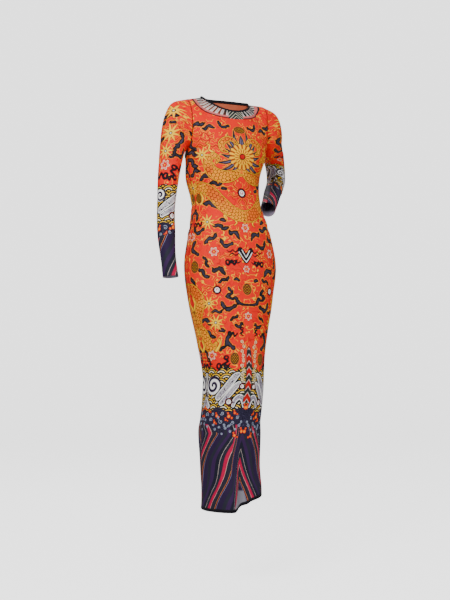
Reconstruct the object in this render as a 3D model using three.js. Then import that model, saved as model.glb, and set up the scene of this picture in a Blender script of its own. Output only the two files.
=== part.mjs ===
// A close, ankle-length dress in printed stretch mesh, with long sleeves and a round neck.
// It is hollow and keeps the pose in which it is worn: the right arm hangs, the left hand is on
// the hip. Millimetres, +Z up, the front towards -Y and the wearer's left side towards +X.
// The origin lies between the shoulders, on the level of the shoulder seams.
import * as THREE from 'three';

// Cloth and its edges
const WALL = 1.2;          // stretch mesh, as thick as where it is sewn
const EDGE_WALL = 2.2;     // the mesh turned over on itself at the neck and hem
const SEAM = 0.3;          // gap between two pieces at a seam
const SLEEVE_SEAM = 0.6;   // how far a sleeve stands off the armhole, which it meets at a slant
const NECK_BAND = 6.5;     // height of the neck binding
const HEM_BAND = 4.5;      // height of the rolled hem

// Grid of the pieces
const PANEL_COLUMNS = 24;  // from one side seam to the other
const SKIRT_ROWS = 24;     // from the hem to the underarm
const CHEST_ROWS = 8;      // from the underarm to the shoulder and neck edge
const SLEEVE_COLUMNS = 2 * CHEST_ROWS; // a sleeve has a panel's points along the armhole
const SLEEVE_STEPS = 2;    // rows of the grid between two rows of a sleeve's table

// Sections of the body from the hem up: the centre, half the width, how deep the section is in
// front of and behind the centre, and how far the front's middle line has turned, in degrees
// towards the wearer's left.
const BODY = table(['z', 'cx', 'cy', 'half', 'front', 'back', 'turn'], [
  [-1320, 12, -22, 99, 98, 102, -12],
  [-1250, 12, -21, 97, 97, 101, -12],
  [-1165, 9, -17, 95, 97, 101, -11],
  [-1065, 8, -16, 97, 100, 104, -6],
  [-960, 15, -20, 94, 96, 98, -2],
  [-880, 18, -23, 96, 96, 100, 0],
  [-770, 15, -17, 113, 102, 108, 1],
  [-640, 14, -12, 141, 106, 114, 0],
  [-535, 17, -8, 155, 104, 122, -1],
  [-430, 16, -3, 138, 98, 112, 0],
  [-325, 7, 10, 114, 95, 92, 3],
  [-250, -2, 13, 122, 106, 98, 3],
  [-195, 3, 9, 131, 113, 98, 0],
  [-160, 5, 8, 137, 107, 96, 0],
  [-130, 5, 10, 141, 98, 92, 0],
]);
const UNDERARM = -160;
const ROUNDNESS = 0.94;    // below 1 the sections are a little squarer than an ellipse

// Height of the hem round the skirt: 0 is the front, +90 the wearer's left, 180 the back.
const HEM = table(['turn', 'z'], [
  [-180, -1285],
  [-108, -1302],
  [-65, -1307],
  [-12, -1306],
  [2, -1288],
  [13, -1283],
  [22, -1273],
  [50, -1262],
  [75, -1256],
  [90, -1255],
  [135, -1262],
  [180, -1285],
]);

// Folds of the skirt: the turn at the hem, the turn at the top, the height where the fold has
// died out, its width in degrees, and how far it stands out at the hem.
const FOLDS = table(['hemTurn', 'topTurn', 'top', 'width', 'out'], [
  [-22, -14, -1050, 15, 7],
  [8, 3, -1030, 11, -8],
  [40, 30, -1080, 14, 4],
  [-62, -50, -1100, 16, -4],
  [75, 66, -1060, 13, -4],
  [130, 138, -1040, 15, 5],
  [165, 160, -1070, 13, -5],
  [-150, -142, -1050, 16, 5],
  [-115, -112, -1090, 14, -4],
]);
// The steep edge of the front fold, which dies out `reach` widths away on both sides.
const FOLD_EDGE = { hemTurn: -6, topTurn: -1, top: -1085, width: 4, out: 5, reach: 4 };

// Neck and shoulder edge of the front and back, for the wearer's left side (side 1) and right.
const CHEST_X = 5;
const SHOULDER = { out: 138, y: 12, z: -8, tilt: 0.025 };
const NECK = { x: 8, out: 87, y: 20, z: -1, tilt: 0.07 };
const NECK_FRONT = { y: -51, z: -43 };
const NECK_BACK = { y: 66, z: 1 };
const NECK_SHARE = 0.5;    // share of a panel's upper edge that is neckline
const NECK_CURVE = 1.3;    // the higher, the more the neckline dips only near its middle
const NECK_LEAN = 0.5;     // how far the binding leans in over the neck

// The middle line of the chest and of the back: how strongly it runs on upwards where it starts
// at the underarm's height, and its direction where it ends at the neck.
const RISE = 120;
const FRONT_PULL = [0, 48, 78];
const BACK_PULL = [0, -40, 90];
const SHOULDER_CURVE = 2;  // the higher, the later the cloth turns over the shoulder

// Inner control points of the armhole curves, as seen from the chest's middle line.
const FRONT_ARMHOLE = [[135, -34, -152], [141, -48, -22]];
const BACK_ARMHOLE = [[135, 56, -152], [142, 64, -22]];

// Sections of the sleeves after the armhole: the point on the outer side of the arm, the point
// on its inner side, and half the depth across.
const SLEEVE_NAMES = ['ox', 'oy', 'oz', 'ix', 'iy', 'iz', 'half'];
const RIGHT_SLEEVE = table(SLEEVE_NAMES, [
  [-184, 14, -19, -139, 8, -166, 39],
  [-205, 14, -52, -142, 9, -172, 40],
  [-218, 13, -98, -147, 10, -183, 39],
  [-224, 12, -148, -152, 11, -200, 37.5],
  [-229, 11, -200, -159, 11, -226, 35.5],
  [-233, 10, -258, -167, 11, -266, 33],
  [-237, 8, -348, -180, 9, -350, 28.5],
  [-245, -9, -429, -188, -7, -431, 28],
  [-241, -23, -507, -193, -21, -509, 24.5],
  [-239, -33, -567, -189, -31, -569, 25],
]);
const LEFT_SLEEVE = table(SLEEVE_NAMES, [
  [192, 22, -30, 152, 9, -166, 39],
  [215, 46, -62, 160, 16, -173, 39],
  [235, 80, -97, 182, 38, -180, 36.5],
  [260, 114, -142, 222, 72, -196, 34],
  [285, 146, -190, 250, 104, -224, 32],
  [305, 174, -247, 259, 116, -233, 31],
  [272, 133, -290, 250, 107, -238, 30],
  [238, 90, -312, 219, 70, -259, 29],
  [203, 47, -336, 187, 28, -287, 27],
  [156, -12, -370, 141, -28, -324, 25],
]);

const COLOURS = { print: 0xe0592a, neck: 0x15141a, hem: 0x17161d };
const CLOTH_ROUGHNESS = 0.7;

/** A table as an array of rows with named columns. */
function table(names, rows) {
  return rows.map((row) => Object.fromEntries(names.map((name, i) => [name, row[i]])));
}

/** The column `name` of a table at the place `x` of its first column, on a smooth curve. */
function read(rows, key, name, x) {
  const last = rows.length - 2;
  let i = rows.findIndex((row, n) => n > 0 && x <= row[key]) - 1;
  if (i < 0) i = x <= rows[0][key] ? 0 : last;
  const slope = (n) => (rows[n + 1][name] - rows[n][name]) / (rows[n + 1][key] - rows[n][key]);
  const tangent = (n) => {
    if (n === 0) return slope(0);
    if (n > last) return slope(last);
    const product = slope(n - 1) * slope(n);
    return product <= 0 ? 0 : (2 * product) / (slope(n - 1) + slope(n));
  };
  const step = rows[i + 1][key] - rows[i][key];
  const t = THREE.MathUtils.clamp((x - rows[i][key]) / step, 0, 1);
  return hermite(rows[i][name], tangent(i) * step, rows[i + 1][name], tangent(i + 1) * step, t);
}

/** Cubic from `a` to `b` that starts with slope `da` and ends with slope `db`. */
function hermite(a, da, b, db, t) {
  const s = 1 - t;
  return (1 + 2 * t) * s * s * a + t * s * s * da + t * t * (3 - 2 * t) * b - t * t * s * db;
}

/** The cubic of `hermite` for points. */
function hermitePoint(a, da, b, db, t) {
  const at = (axis) => hermite(a[axis], da[axis], b[axis], db[axis], t);
  return new THREE.Vector3(at('x'), at('y'), at('z'));
}

/** An angle in degrees brought between -180 and 180. */
function wrapTurn(turn) {
  return turn - 360 * Math.round(turn / 360);
}

/** How far the folds move the cloth out at a turn and a height: bells that fade upwards. */
function foldOut(turn, z) {
  const hem = read(HEM, 'turn', 'z', wrapTurn(turn));
  const share = (fold) => THREE.MathUtils.clamp((fold.top - z) / (fold.top - hem), 0, 1);
  const away = (fold) => {
    const at = THREE.MathUtils.lerp(fold.topTurn, fold.hemTurn, share(fold));
    return wrapTurn(turn - at) / fold.width;
  };
  const bells = FOLDS.map((fold) => fold.out * share(fold) * Math.exp(-(away(fold) ** 2)));
  // The front fold ends in a steep edge that faces the wearer's left.
  const edge = FOLD_EDGE.out * share(FOLD_EDGE) * -Math.tanh(away(FOLD_EDGE))
    * Math.exp(-((away(FOLD_EDGE) / FOLD_EDGE.reach) ** 2));
  return edge + bells.reduce((sum, out) => sum + out, 0);
}

/** A point of the body's section at a height: `turn` is 0 at the front, 90 at the left side. */
function bodyPoint(turn, z) {
  const value = (name) => read(BODY, 'z', name, z);
  const angle = THREE.MathUtils.degToRad(turn + value('turn'));
  const soft = (x) => Math.sign(x) * Math.abs(x) ** ROUNDNESS;
  const across = soft(Math.sin(angle));
  const along = soft(Math.cos(angle));
  const deep = along > 0 ? value('front') : value('back');
  const half = value('half');
  const out = new THREE.Vector3(across / half, -along / deep, 0).normalize();
  const point = new THREE.Vector3(value('cx') + half * across, value('cy') - deep * along, z);
  return point.addScaledVector(out, foldOut(turn, z));
}

/** The turn of a panel's column: `u` runs from -1 at the right side seam to 1 at the left. */
function columnTurn(back, u) {
  return back ? 180 - 90 * u : 90 * u;
}

/** The shoulder point and the neck point of one side, -1 for the wearer's right. */
function shoulderPoint(side) {
  const x = CHEST_X + side * SHOULDER.out;
  return new THREE.Vector3(x, SHOULDER.y, SHOULDER.z - SHOULDER.tilt * x);
}

function neckPoint(side) {
  const x = NECK.x + side * NECK.out;
  return new THREE.Vector3(x, NECK.y, NECK.z - NECK.tilt * x);
}

/** The upper edge of a panel: the neckline in its middle and the two shoulder seams. */
function upperEdge(back, u) {
  const side = u < 0 ? -1 : 1;
  const share = Math.abs(u) / NECK_SHARE;
  if (share >= 1) {
    const along = (Math.abs(u) - NECK_SHARE) / (1 - NECK_SHARE);
    return neckPoint(side).lerp(shoulderPoint(side), along);
  }
  const middle = back ? NECK_BACK : NECK_FRONT;
  const angle = (share * Math.PI) / 2;
  const edge = neckPoint(side);
  const depth = Math.cos(angle);
  return new THREE.Vector3(
    NECK.x + side * NECK.out * Math.sin(angle),
    THREE.MathUtils.lerp(edge.y, middle.y, depth),
    THREE.MathUtils.lerp(edge.z, middle.z, depth ** NECK_CURVE),
  );
}

/** The armhole curve of a panel from the underarm, t = 0, to the shoulder point, t = 1. */
function armhole(back, side, t) {
  const handles = (back ? BACK_ARMHOLE : FRONT_ARMHOLE)
    .map(([x, y, z]) => new THREE.Vector3(CHEST_X + side * x, y, z));
  const start = bodyPoint(columnTurn(back, side), UNDERARM);
  return new THREE.CubicBezierCurve3(start, ...handles, shoulderPoint(side)).getPoint(t);
}

/** The middle line of a panel from the underarm's height, t = 0, to the neck, t = 1. */
function middleLine(back, t) {
  const turn = columnTurn(back, 0);
  const start = bodyPoint(turn, UNDERARM);
  const rise = bodyPoint(turn, UNDERARM + 1).sub(start).multiplyScalar(RISE);
  const pull = new THREE.Vector3(...(back ? BACK_PULL : FRONT_PULL));
  return hermitePoint(start, rise, upperEdge(back, 0), pull, t);
}

/** A quarter of a section between a panel's middle line and its armhole. */
function chestArc(back, u, t) {
  const side = u < 0 ? -1 : 1;
  const angle = (Math.abs(u) * Math.PI) / 2;
  const middle = middleLine(back, t);
  const edge = armhole(back, side, t);
  const across = Math.sin(angle) ** ROUNDNESS;
  const along = Math.cos(angle) ** ROUNDNESS;
  return new THREE.Vector3(
    THREE.MathUtils.lerp(middle.x, edge.x, across),
    THREE.MathUtils.lerp(edge.y, middle.y, along),
    THREE.MathUtils.lerp(edge.z, middle.z, along),
  );
}

/** The cloth between the underarm, t = 0, and a panel's upper edge, t = 1. */
function chestPoint(back, u, t) {
  const over = upperEdge(back, u).sub(chestArc(back, u, 1));
  return chestArc(back, u, t).addScaledVector(over, t ** SHOULDER_CURVE);
}

/** A panel: its grid of points, row by row from the hem, made into a wall. */
function panel(back) {
  const share = (column) => (2 * column) / PANEL_COLUMNS - 1;
  const rows = Array.from({ length: SKIRT_ROWS + CHEST_ROWS + 1 }, (_, row) =>
    Array.from({ length: PANEL_COLUMNS + 1 }, (__, column) =>
      panelPoint(back, share(column), row)));
  // Past a side or shoulder seam the cloth goes on in the other panel, and past the armholes,
  // the neck and the hem there is nothing.
  const top = SKIRT_ROWS + CHEST_ROWS;
  const beside = (row, column) => {
    if (row >= 0 && row <= SKIRT_ROWS) return panelPoint(back, share(column), row);
    const overSeam = row > top && Math.abs(share(column)) >= NECK_SHARE;
    if (overSeam) return panelPoint(!back, share(column), top - 1);
    return rows[THREE.MathUtils.clamp(row, 0, top)][THREE.MathUtils.clamp(column, 0, PANEL_COLUMNS)];
  };
  return clothWall(rows, { beside, flip: back ? -1 : 1 });
}

/** One point of a panel's grid. */
function panelPoint(back, u, row) {
  if (row > SKIRT_ROWS) {
    const inset = (SEAM / 2) / RISE;
    return chestPoint(back, u, ((row - SKIRT_ROWS) / CHEST_ROWS) * (1 - inset));
  }
  const turn = columnTurn(back, u);
  const hem = read(HEM, 'turn', 'z', wrapTurn(turn)) + HEM_BAND + SEAM;
  return bodyPoint(turn, THREE.MathUtils.lerp(hem, UNDERARM, row / SKIRT_ROWS));
}

/** The rings of a sleeve: the armhole first, then the table's sections. */
function sleeveRings(side, rows) {
  const outer = rows.map((row) => new THREE.Vector3(row.ox, row.oy, row.oz));
  const inner = rows.map((row) => new THREE.Vector3(row.ix, row.iy, row.iz));
  const middle = outer.map((point, i) => point.clone().lerp(inner[i], 0.5));
  const first = ring((angle) => armhole(angle > Math.PI, side, Math.abs(1 - angle / Math.PI)));
  const start = mean(first);
  const rings = rows.map((row, i) => {
    const ahead = middle[Math.min(i + 1, rows.length - 1)].clone();
    const along = ahead.sub(middle[i - 1] ?? start);
    const up = outer[i].clone().sub(middle[i]);
    const across = along.cross(up).normalize().multiplyScalar(side * row.half);
    return ring((angle) => middle[i].clone().addScaledVector(up, Math.cos(angle))
      .addScaledVector(across, Math.sin(angle)));
  });
  // The first ring stands off the armhole, outwards and along the sleeve.
  const outwards = new THREE.Vector3(side, 0, 0);
  first.forEach((point, i) => {
    const along = rings[0][i].clone().sub(point).normalize();
    point.addScaledVector(along.add(outwards).normalize(), SLEEVE_SEAM);
  });
  return [first, ...rings];
}

/** The middle of a set of points. */
function mean(points) {
  return points.reduce((sum, point) => sum.add(point), new THREE.Vector3())
    .divideScalar(points.length);
}

/** Points round a sleeve, from the top of the arm over its front. */
function ring(pointAt) {
  return Array.from({ length: SLEEVE_COLUMNS }, (_, i) =>
    pointAt((2 * Math.PI * i) / SLEEVE_COLUMNS));
}

/** A sleeve's grid: smooth curves along the arm through the points of its rings. */
function sleeveGrid(side, rows) {
  const rings = sleeveRings(side, rows);
  const curves = rings[0].map((_, i) =>
    new THREE.CatmullRomCurve3(rings.map((points) => points[i]), false, 'centripetal'));
  const steps = (rings.length - 1) * SLEEVE_STEPS;
  return Array.from({ length: steps + 1 }, (_, row) =>
    curves.map((curve) => curve.getPoint(row / steps)));
}

/** Outward normals of a grid from the points beside, above and below each point. */
function gridNormals(rows, beside, flip) {
  return rows.map((line, r) => line.map((_, c) => {
    const across = beside(r, c + 1).clone().sub(beside(r, c - 1));
    const along = beside(r + 1, c).clone().sub(beside(r - 1, c));
    return across.cross(along).normalize().multiplyScalar(flip);
  }));
}

/** Draws the two outer columns of an open grid in by half the gap of a seam. */
function openSides(rows) {
  const drawIn = (point, next) =>
    point.addScaledVector(next.clone().sub(point).normalize(), SEAM / 2);
  for (const line of rows) {
    drawIn(line[0], line[1]);
    drawIn(line.at(-1), line.at(-2));
  }
}

/**
 * A wall of cloth: the grid is its outer face, and the inner face lies `wall` further in.
 * Without `beside`, which gives the points past an open grid's edges, its rows are closed rings.
 */
function clothWall(rows, { beside, flip = 1, wall = WALL }) {
  const closed = !beside;
  const ringPoint = (r, c) => {
    const line = rows[THREE.MathUtils.clamp(r, 0, rows.length - 1)];
    return line[(c + line.length) % line.length];
  };
  const normals = gridNormals(rows, beside ?? ringPoint, flip);
  const inner = rows.map((line, r) => line.map((point, c) =>
    point.clone().addScaledVector(normals[r][c], -wall)));
  if (!closed) [rows, inner].forEach(openSides);
  const width = rows[0].length;
  const count = rows.length * width;
  const index = (face, r, c) => face * count + r * width + (c % width);
  const triangles = [];
  const quad = (a, b, c, d) => triangles.push(...(flip > 0 ? [a, b, c, a, c, d]
    : [a, c, b, a, d, c]));
  const spans = closed ? width : width - 1;
  const top = rows.length - 1;
  for (let r = 0; r < top; r += 1) {
    for (let c = 0; c < spans; c += 1) {
      quad(index(0, r, c), index(0, r, c + 1), index(0, r + 1, c + 1), index(0, r + 1, c));
      quad(index(1, r, c), index(1, r + 1, c), index(1, r + 1, c + 1), index(1, r, c + 1));
    }
  }
  for (let c = 0; c < spans; c += 1) {
    quad(index(0, 0, c), index(1, 0, c), index(1, 0, c + 1), index(0, 0, c + 1));
    quad(index(0, top, c), index(0, top, c + 1), index(1, top, c + 1), index(1, top, c));
  }
  for (let r = 0; r < top && !closed; r += 1) {
    quad(index(0, r, 0), index(0, r + 1, 0), index(1, r + 1, 0), index(1, r, 0));
    quad(index(0, r, spans), index(1, r, spans), index(1, r + 1, spans), index(0, r + 1, spans));
  }
  return solid([...rows.flat(), ...inner.flat()], triangles);
}

/** A closed mesh from points and triangles. */
function solid(points, triangles) {
  const geometry = new THREE.BufferGeometry().setFromPoints(points);
  geometry.setIndex(triangles);
  geometry.computeVertexNormals();
  return geometry;
}

/** The two upper or lower edges of the panels as one loop, counter-clockwise from above. */
function edgeLoop(pointAt, reach) {
  const count = Math.round(PANEL_COLUMNS * reach);
  const front = Array.from({ length: count }, (_, i) => pointAt(false, reach * ((2 * i) / count - 1)));
  const back = Array.from({ length: count }, (_, i) => pointAt(true, reach * (1 - (2 * i) / count)));
  return [...front, ...back];
}

/** The binding round the neck: it stands on the panels' neck edge and leans in over the neck. */
function neckBinding() {
  const edge = edgeLoop(upperEdge, NECK_SHARE);
  const axis = mean(edge);
  const rise = (height) => edge.map((point) => {
    const inward = axis.clone().sub(point).setZ(0).normalize().multiplyScalar(NECK_LEAN);
    return point.clone().addScaledVector(inward.setZ(1).normalize(), height);
  });
  return clothWall([rise(SEAM), rise(SEAM + NECK_BAND)], { wall: EDGE_WALL });
}

/** The rolled hem: a narrow ring under the panels' lower edge. */
function hemRoll() {
  const pointAt = (back, u, drop) => {
    const turn = columnTurn(back, u);
    return bodyPoint(turn, read(HEM, 'turn', 'z', wrapTurn(turn)) + drop);
  };
  const loop = (drop) => edgeLoop((back, u) => pointAt(back, u, drop), 1);
  return clothWall([loop(0), loop(HEM_BAND)], { wall: EDGE_WALL });
}

/** A named mesh in its own material. */
function piece(name, geometry, colour) {
  const material = new THREE.MeshStandardMaterial({
    color: colour,
    roughness: CLOTH_ROUGHNESS,
    metalness: 0,
  });
  const mesh = new THREE.Mesh(geometry, material);
  mesh.name = name;
  return mesh;
}

const dress = new THREE.Group();
dress.add(
  piece('front_panel', panel(false), COLOURS.print),
  piece('back_panel', panel(true), COLOURS.print),
  piece('sleeve_right', clothWall(sleeveGrid(-1, RIGHT_SLEEVE), { flip: -1 }), COLOURS.print),
  piece('sleeve_left', clothWall(sleeveGrid(1, LEFT_SLEEVE), {}), COLOURS.print),
  piece('neck_binding', neckBinding(), COLOURS.neck),
  piece('hem_band', hemRoll(), COLOURS.hem),
);

export default dress;
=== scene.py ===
import math

import bpy
import numpy as np
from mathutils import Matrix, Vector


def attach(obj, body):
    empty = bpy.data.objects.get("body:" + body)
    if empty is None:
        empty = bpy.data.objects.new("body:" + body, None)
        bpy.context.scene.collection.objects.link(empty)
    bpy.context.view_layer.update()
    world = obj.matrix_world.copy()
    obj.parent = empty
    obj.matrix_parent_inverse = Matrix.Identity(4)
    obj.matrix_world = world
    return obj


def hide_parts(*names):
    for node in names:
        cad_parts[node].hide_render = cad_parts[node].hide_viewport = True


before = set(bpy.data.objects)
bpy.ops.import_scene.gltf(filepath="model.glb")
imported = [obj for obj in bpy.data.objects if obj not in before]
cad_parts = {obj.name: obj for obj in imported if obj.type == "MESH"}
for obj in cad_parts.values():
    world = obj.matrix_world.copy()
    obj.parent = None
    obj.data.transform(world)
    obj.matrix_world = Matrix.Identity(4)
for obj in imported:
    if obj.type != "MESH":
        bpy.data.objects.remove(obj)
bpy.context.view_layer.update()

# ---------------------------------------------------------------------------------------------
# Camera, floor and light. The dress is seen from its front right, level with its hips, in a
# pale room whose floor runs up into the back wall.
# ---------------------------------------------------------------------------------------------
CAMERA_AWAY = 5.0        # metres from the camera to the dress
CAMERA_TURN = 30.0       # degrees from straight in front towards the wearer's right
CAMERA_HEIGHT = -0.64
CAMERA_LENS = 93.75      # millimetres, with the 36 mm of Blender's sensor along the long side
FLOOR_HEIGHT = -1.56
ROOM_WHITE = (0.5, 0.5, 0.505, 1.0)
ROOM_GLOW = 2.1          # how much brighter the camera sees the room than its lamps make it
DAYLIGHT = 0.42          # light that comes from all round
LAMPS = [                # name, place, aim, size in metres and watts
    ("key lamp", (-2.6, -2.4, 1.4), (0.0, 0.0, -0.6), 1.6, 190),
    ("fill lamp", (1.8, -3.0, 0.2), (0.0, 0.0, -0.7), 2.2, 42),
    ("back lamp", (1.0, 2.4, 1.6), (0.0, 0.0, -0.5), 1.6, 50),
]


def add_camera():
    """A level camera on a circle round the dress."""
    camera = bpy.data.objects.new("camera", bpy.data.cameras.new("camera"))
    turn = math.radians(CAMERA_TURN)
    camera.location = (-CAMERA_AWAY * math.sin(turn), -CAMERA_AWAY * math.cos(turn), CAMERA_HEIGHT)
    camera.rotation_euler = (math.pi / 2, 0, -turn)
    camera.data.lens = CAMERA_LENS
    bpy.context.scene.collection.objects.link(camera)
    bpy.context.scene.camera = camera


def add_room():
    """A floor that bends up into a wall all round: its height is 0 and then rises as a quarter
    circle of radius `bend` to the wall's height."""
    radius, bend, wall, sides, bend_steps = 5.6, 2.0, 5.0, 96, 12
    around = np.linspace(0, 2 * np.pi, sides + 1)[:-1]
    corner = np.linspace(0, np.pi / 2, bend_steps + 1)
    out = np.concatenate([[0.01, radius / 2], radius + bend * np.sin(corner), [radius + bend]])
    up = np.concatenate([[0.0, 0.0], bend * (1 - np.cos(corner)), [wall]])
    points = np.stack([np.outer(out, np.cos(around)), np.outer(out, np.sin(around)),
                       np.outer(up, np.ones_like(around)) + FLOOR_HEIGHT], axis=-1)
    count = len(around)
    row, column = np.meshgrid(np.arange(len(out) - 1), np.arange(count), indexing="ij")
    beside = (column + 1) % count
    faces = np.stack([row * count + column, row * count + beside,
                      (row + 1) * count + beside, (row + 1) * count + column], axis=-1)
    mesh = bpy.data.meshes.new("room")
    middle = [tuple(range(count))]
    mesh.from_pydata(points.reshape(-1, 3).tolist(), [], faces.reshape(-1, 4)[:, ::-1].tolist() + middle)
    mesh.shade_smooth()
    paint = bpy.data.materials.new("room paint")
    paint.use_nodes = True
    shader = paint.node_tree.nodes["Principled BSDF"]
    shader.inputs["Base Color"].default_value = ROOM_WHITE
    shader.inputs["Roughness"].default_value = 0.9
    shader.inputs["Emission Strength"].default_value = ROOM_GLOW
    seen = paint.node_tree.nodes.new("ShaderNodeLightPath").outputs["Is Camera Ray"]
    paint.node_tree.links.new(seen, shader.inputs["Emission Color"])
    mesh.materials.append(paint)
    room = bpy.data.objects.new("room", mesh)
    bpy.context.scene.collection.objects.link(room)


def add_lamp(name, place, aim, size, watts):
    """A square soft lamp at `place` that shines towards `aim`."""
    lamp = bpy.data.lights.new(name, "AREA")
    lamp.size = size
    lamp.energy = watts
    holder = bpy.data.objects.new(name, lamp)
    holder.location = place
    way = Vector(aim) - Vector(place)
    holder.rotation_euler = way.to_track_quat("-Z", "Y").to_euler()
    bpy.context.scene.collection.objects.link(holder)


add_camera()
add_room()
for lamp_row in LAMPS:
    add_lamp(*lamp_row)
world = bpy.data.worlds.new("room light")
world.use_nodes = True
world.node_tree.nodes["Background"].inputs["Color"].default_value = (1.0, 1.0, 1.0, 1.0)
world.node_tree.nodes["Background"].inputs["Strength"].default_value = DAYLIGHT
bpy.context.scene.world = world

# ---------------------------------------------------------------------------------------------
# Front and back. Each is one length of printed stretch mesh from the shoulders and neck to the
# hem, cut to follow the body and sewn to the other at the sides and shoulders. The cloth clings
# above the knees and hangs in soft folds below them. All its sizes are in millimetres.
# ---------------------------------------------------------------------------------------------
MILLIMETRE = 0.001
WALL = 1.2               # thickness of the cloth
SEAM = 0.3               # gap between two pieces at a seam
RIM_IN = 0.3             # how far the inner face stays back from the edge of the outer one
HEM_BAND = 4.5           # height of the rolled hem
UNDERARM = -160.0        # height of the underarm, where the armholes start
ROUNDNESS = 0.94         # below 1 the sections are a little squarer than an ellipse


def columns(names, rows):
    """A table's columns by name."""
    return dict(zip(names.split(), np.array(rows, float).T))


# Sections of the body from the hem up: the centre, half the width, how deep the section is in
# front of and behind the centre, and how far the front's middle line is turned.
BODY = columns("z cx cy half front back turn", [
    (-1320, 12, -22, 99, 98, 102, -12),
    (-1250, 12, -21, 97, 97, 101, -12),
    (-1165, 9, -17, 95, 97, 101, -11),
    (-1065, 8, -16, 97, 100, 104, -6),
    (-960, 15, -20, 94, 96, 98, -2),
    (-880, 18, -23, 96, 96, 100, 0),
    (-770, 15, -17, 113, 102, 108, 1),
    (-640, 14, -12, 141, 106, 114, 0),
    (-535, 17, -8, 155, 104, 122, -1),
    (-430, 16, -3, 138, 98, 112, 0),
    (-325, 7, 10, 114, 95, 92, 3),
    (-250, -2, 13, 122, 106, 98, 3),
    (-195, 3, 9, 131, 113, 98, 0),
    (-160, 5, 8, 137, 107, 96, 0),
    (-130, 5, 10, 141, 98, 92, 0),
])

# Height of the hem round the skirt: 0 is the front, 90 the wearer's left, 180 the back.
HEM = columns("turn z", [
    (-180, -1285),
    (-108, -1302),
    (-65, -1307),
    (-12, -1306),
    (2, -1288),
    (13, -1283),
    (22, -1273),
    (50, -1262),
    (75, -1256),
    (90, -1255),
    (135, -1262),
    (180, -1285),
])

# Folds of the skirt: the turn at the hem and at the top, the height where the fold has died out,
# its width in degrees, and how far it stands out at the hem.
FOLDS = [
    (-22, -14, -1050, 15, 7),
    (8, 3, -1030, 11, -8),
    (40, 30, -1080, 14, 4),
    (-62, -50, -1100, 16, -4),
    (75, 66, -1060, 13, -4),
    (130, 138, -1040, 15, 5),
    (165, 160, -1070, 13, -5),
    (-150, -142, -1050, 16, 5),
    (-115, -112, -1090, 14, -4),
]
FOLD_EDGE = (-6, -1, -1085, 4, 5)
FOLD_EDGE_REACH = 4

# Neck and shoulder edge, and the armholes' inner control points.
CHEST_X = 5
SHOULDER = dict(out=138, y=12, z=-8, tilt=0.025)
NECK = dict(x=8, out=87, y=20, z=-1, tilt=0.07)
NECK_MIDDLE = dict(front=(-51, -43), back=(66, 1))
NECK_SHARE = 0.5         # share of a panel's upper edge that is neckline
NECK_CURVE = 1.3         # the higher, the more the neckline dips only near its middle
RISE = 120
NECK_PULL = dict(front=(0, 48, 78), back=(0, -40, 90))
SHOULDER_CURVE = 2       # the higher, the later the cloth turns over the shoulder
ARMHOLE = dict(front=[(135, -34, -152), (141, -48, -22)], back=[(135, 56, -152), (142, 64, -22)])


def hermite(start, start_slope, end, end_slope, t):
    """The cubic from start to end with those slopes: each value times its Hermite polynomial."""
    s = 1 - t
    return ((1 + 2 * t) * s * s * start + t * s * s * start_slope
            + t * t * (3 - 2 * t) * end - t * t * s * end_slope)


def read(table, name, x):
    """A column at places x of the table's first column, on cubics whose slope at a row is the
    harmonic mean of the slopes beside it, or none where those differ in sign."""
    places, values = next(iter(table.values())), table[name]
    slopes = np.diff(values) / np.diff(places)
    before, after = slopes[:-1], slopes[1:]
    level = before * after <= 0
    middle = np.where(level, 0, 2 * before * after / np.where(level, 1, before + after))
    tangents = np.concatenate([slopes[:1], middle, slopes[-1:]])
    i = np.clip(np.searchsorted(places, x) - 1, 0, len(places) - 2)
    step = places[i + 1] - places[i]
    t = np.clip((x - places[i]) / step, 0, 1)
    return hermite(values[i], tangents[i] * step, values[i + 1], tangents[i + 1] * step, t)


def mix(a, b, share):
    """The value that lies that share of the way from a to b."""
    return a + (b - a) * share


def stack(*axes):
    """Points from their coordinates, which may be arrays or single numbers."""
    return np.stack(np.broadcast_arrays(*axes), axis=-1)


def unit(vectors):
    """The vectors with length 1."""
    return vectors / np.linalg.norm(vectors, axis=-1, keepdims=True)


def wrap(turn):
    """An angle in degrees brought between -180 and 180."""
    return turn - 360 * np.round(turn / 360)


def fold_out(turn, z):
    """How far the folds move the cloth out: bells exp(-away^2) that fade upwards, and one steep
    edge -tanh(away) on the front fold."""
    hem = read(HEM, "z", wrap(turn))
    out = np.zeros(np.broadcast(turn, z).shape)
    for fold in [*FOLDS, FOLD_EDGE]:
        hem_turn, top_turn, top, width, reach = fold
        share = np.clip((top - z) / (top - hem), 0, 1)
        away = wrap(turn - mix(top_turn, hem_turn, share)) / width
        if fold is FOLD_EDGE:
            out = out - reach * share * np.tanh(away) * np.exp(-(away / FOLD_EDGE_REACH) ** 2)
        else:
            out = out + reach * share * np.exp(-away ** 2)
    return out


def body_point(turn, z):
    """A point of the body's section: a superellipse round the section's centre, moved out by the
    folds."""
    part = {name: read(BODY, name, z) for name in ("cx", "cy", "half", "front", "back", "turn")}
    angle = np.radians(turn + part["turn"])
    across = np.sign(np.sin(angle)) * np.abs(np.sin(angle)) ** ROUNDNESS
    along = np.sign(np.cos(angle)) * np.abs(np.cos(angle)) ** ROUNDNESS
    deep = np.where(along > 0, part["front"], part["back"])
    normal = unit(stack(across / part["half"], -along / deep, np.zeros_like(z + turn)))
    point = stack(part["cx"] + part["half"] * across, part["cy"] - deep * along, z)
    return point + fold_out(turn, z)[..., None] * normal


def column_turn(side, u):
    """The turn of a panel's column, from the right side seam, u = -1, to the left one, u = 1."""
    return 180 - 90 * u if side == "back" else 90 * u


def shoulder_point(u):
    """The shoulder point of the side on which u lies."""
    x = CHEST_X + np.sign(u) * SHOULDER["out"]
    return stack(x, SHOULDER["y"], SHOULDER["z"] - SHOULDER["tilt"] * x)


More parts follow.
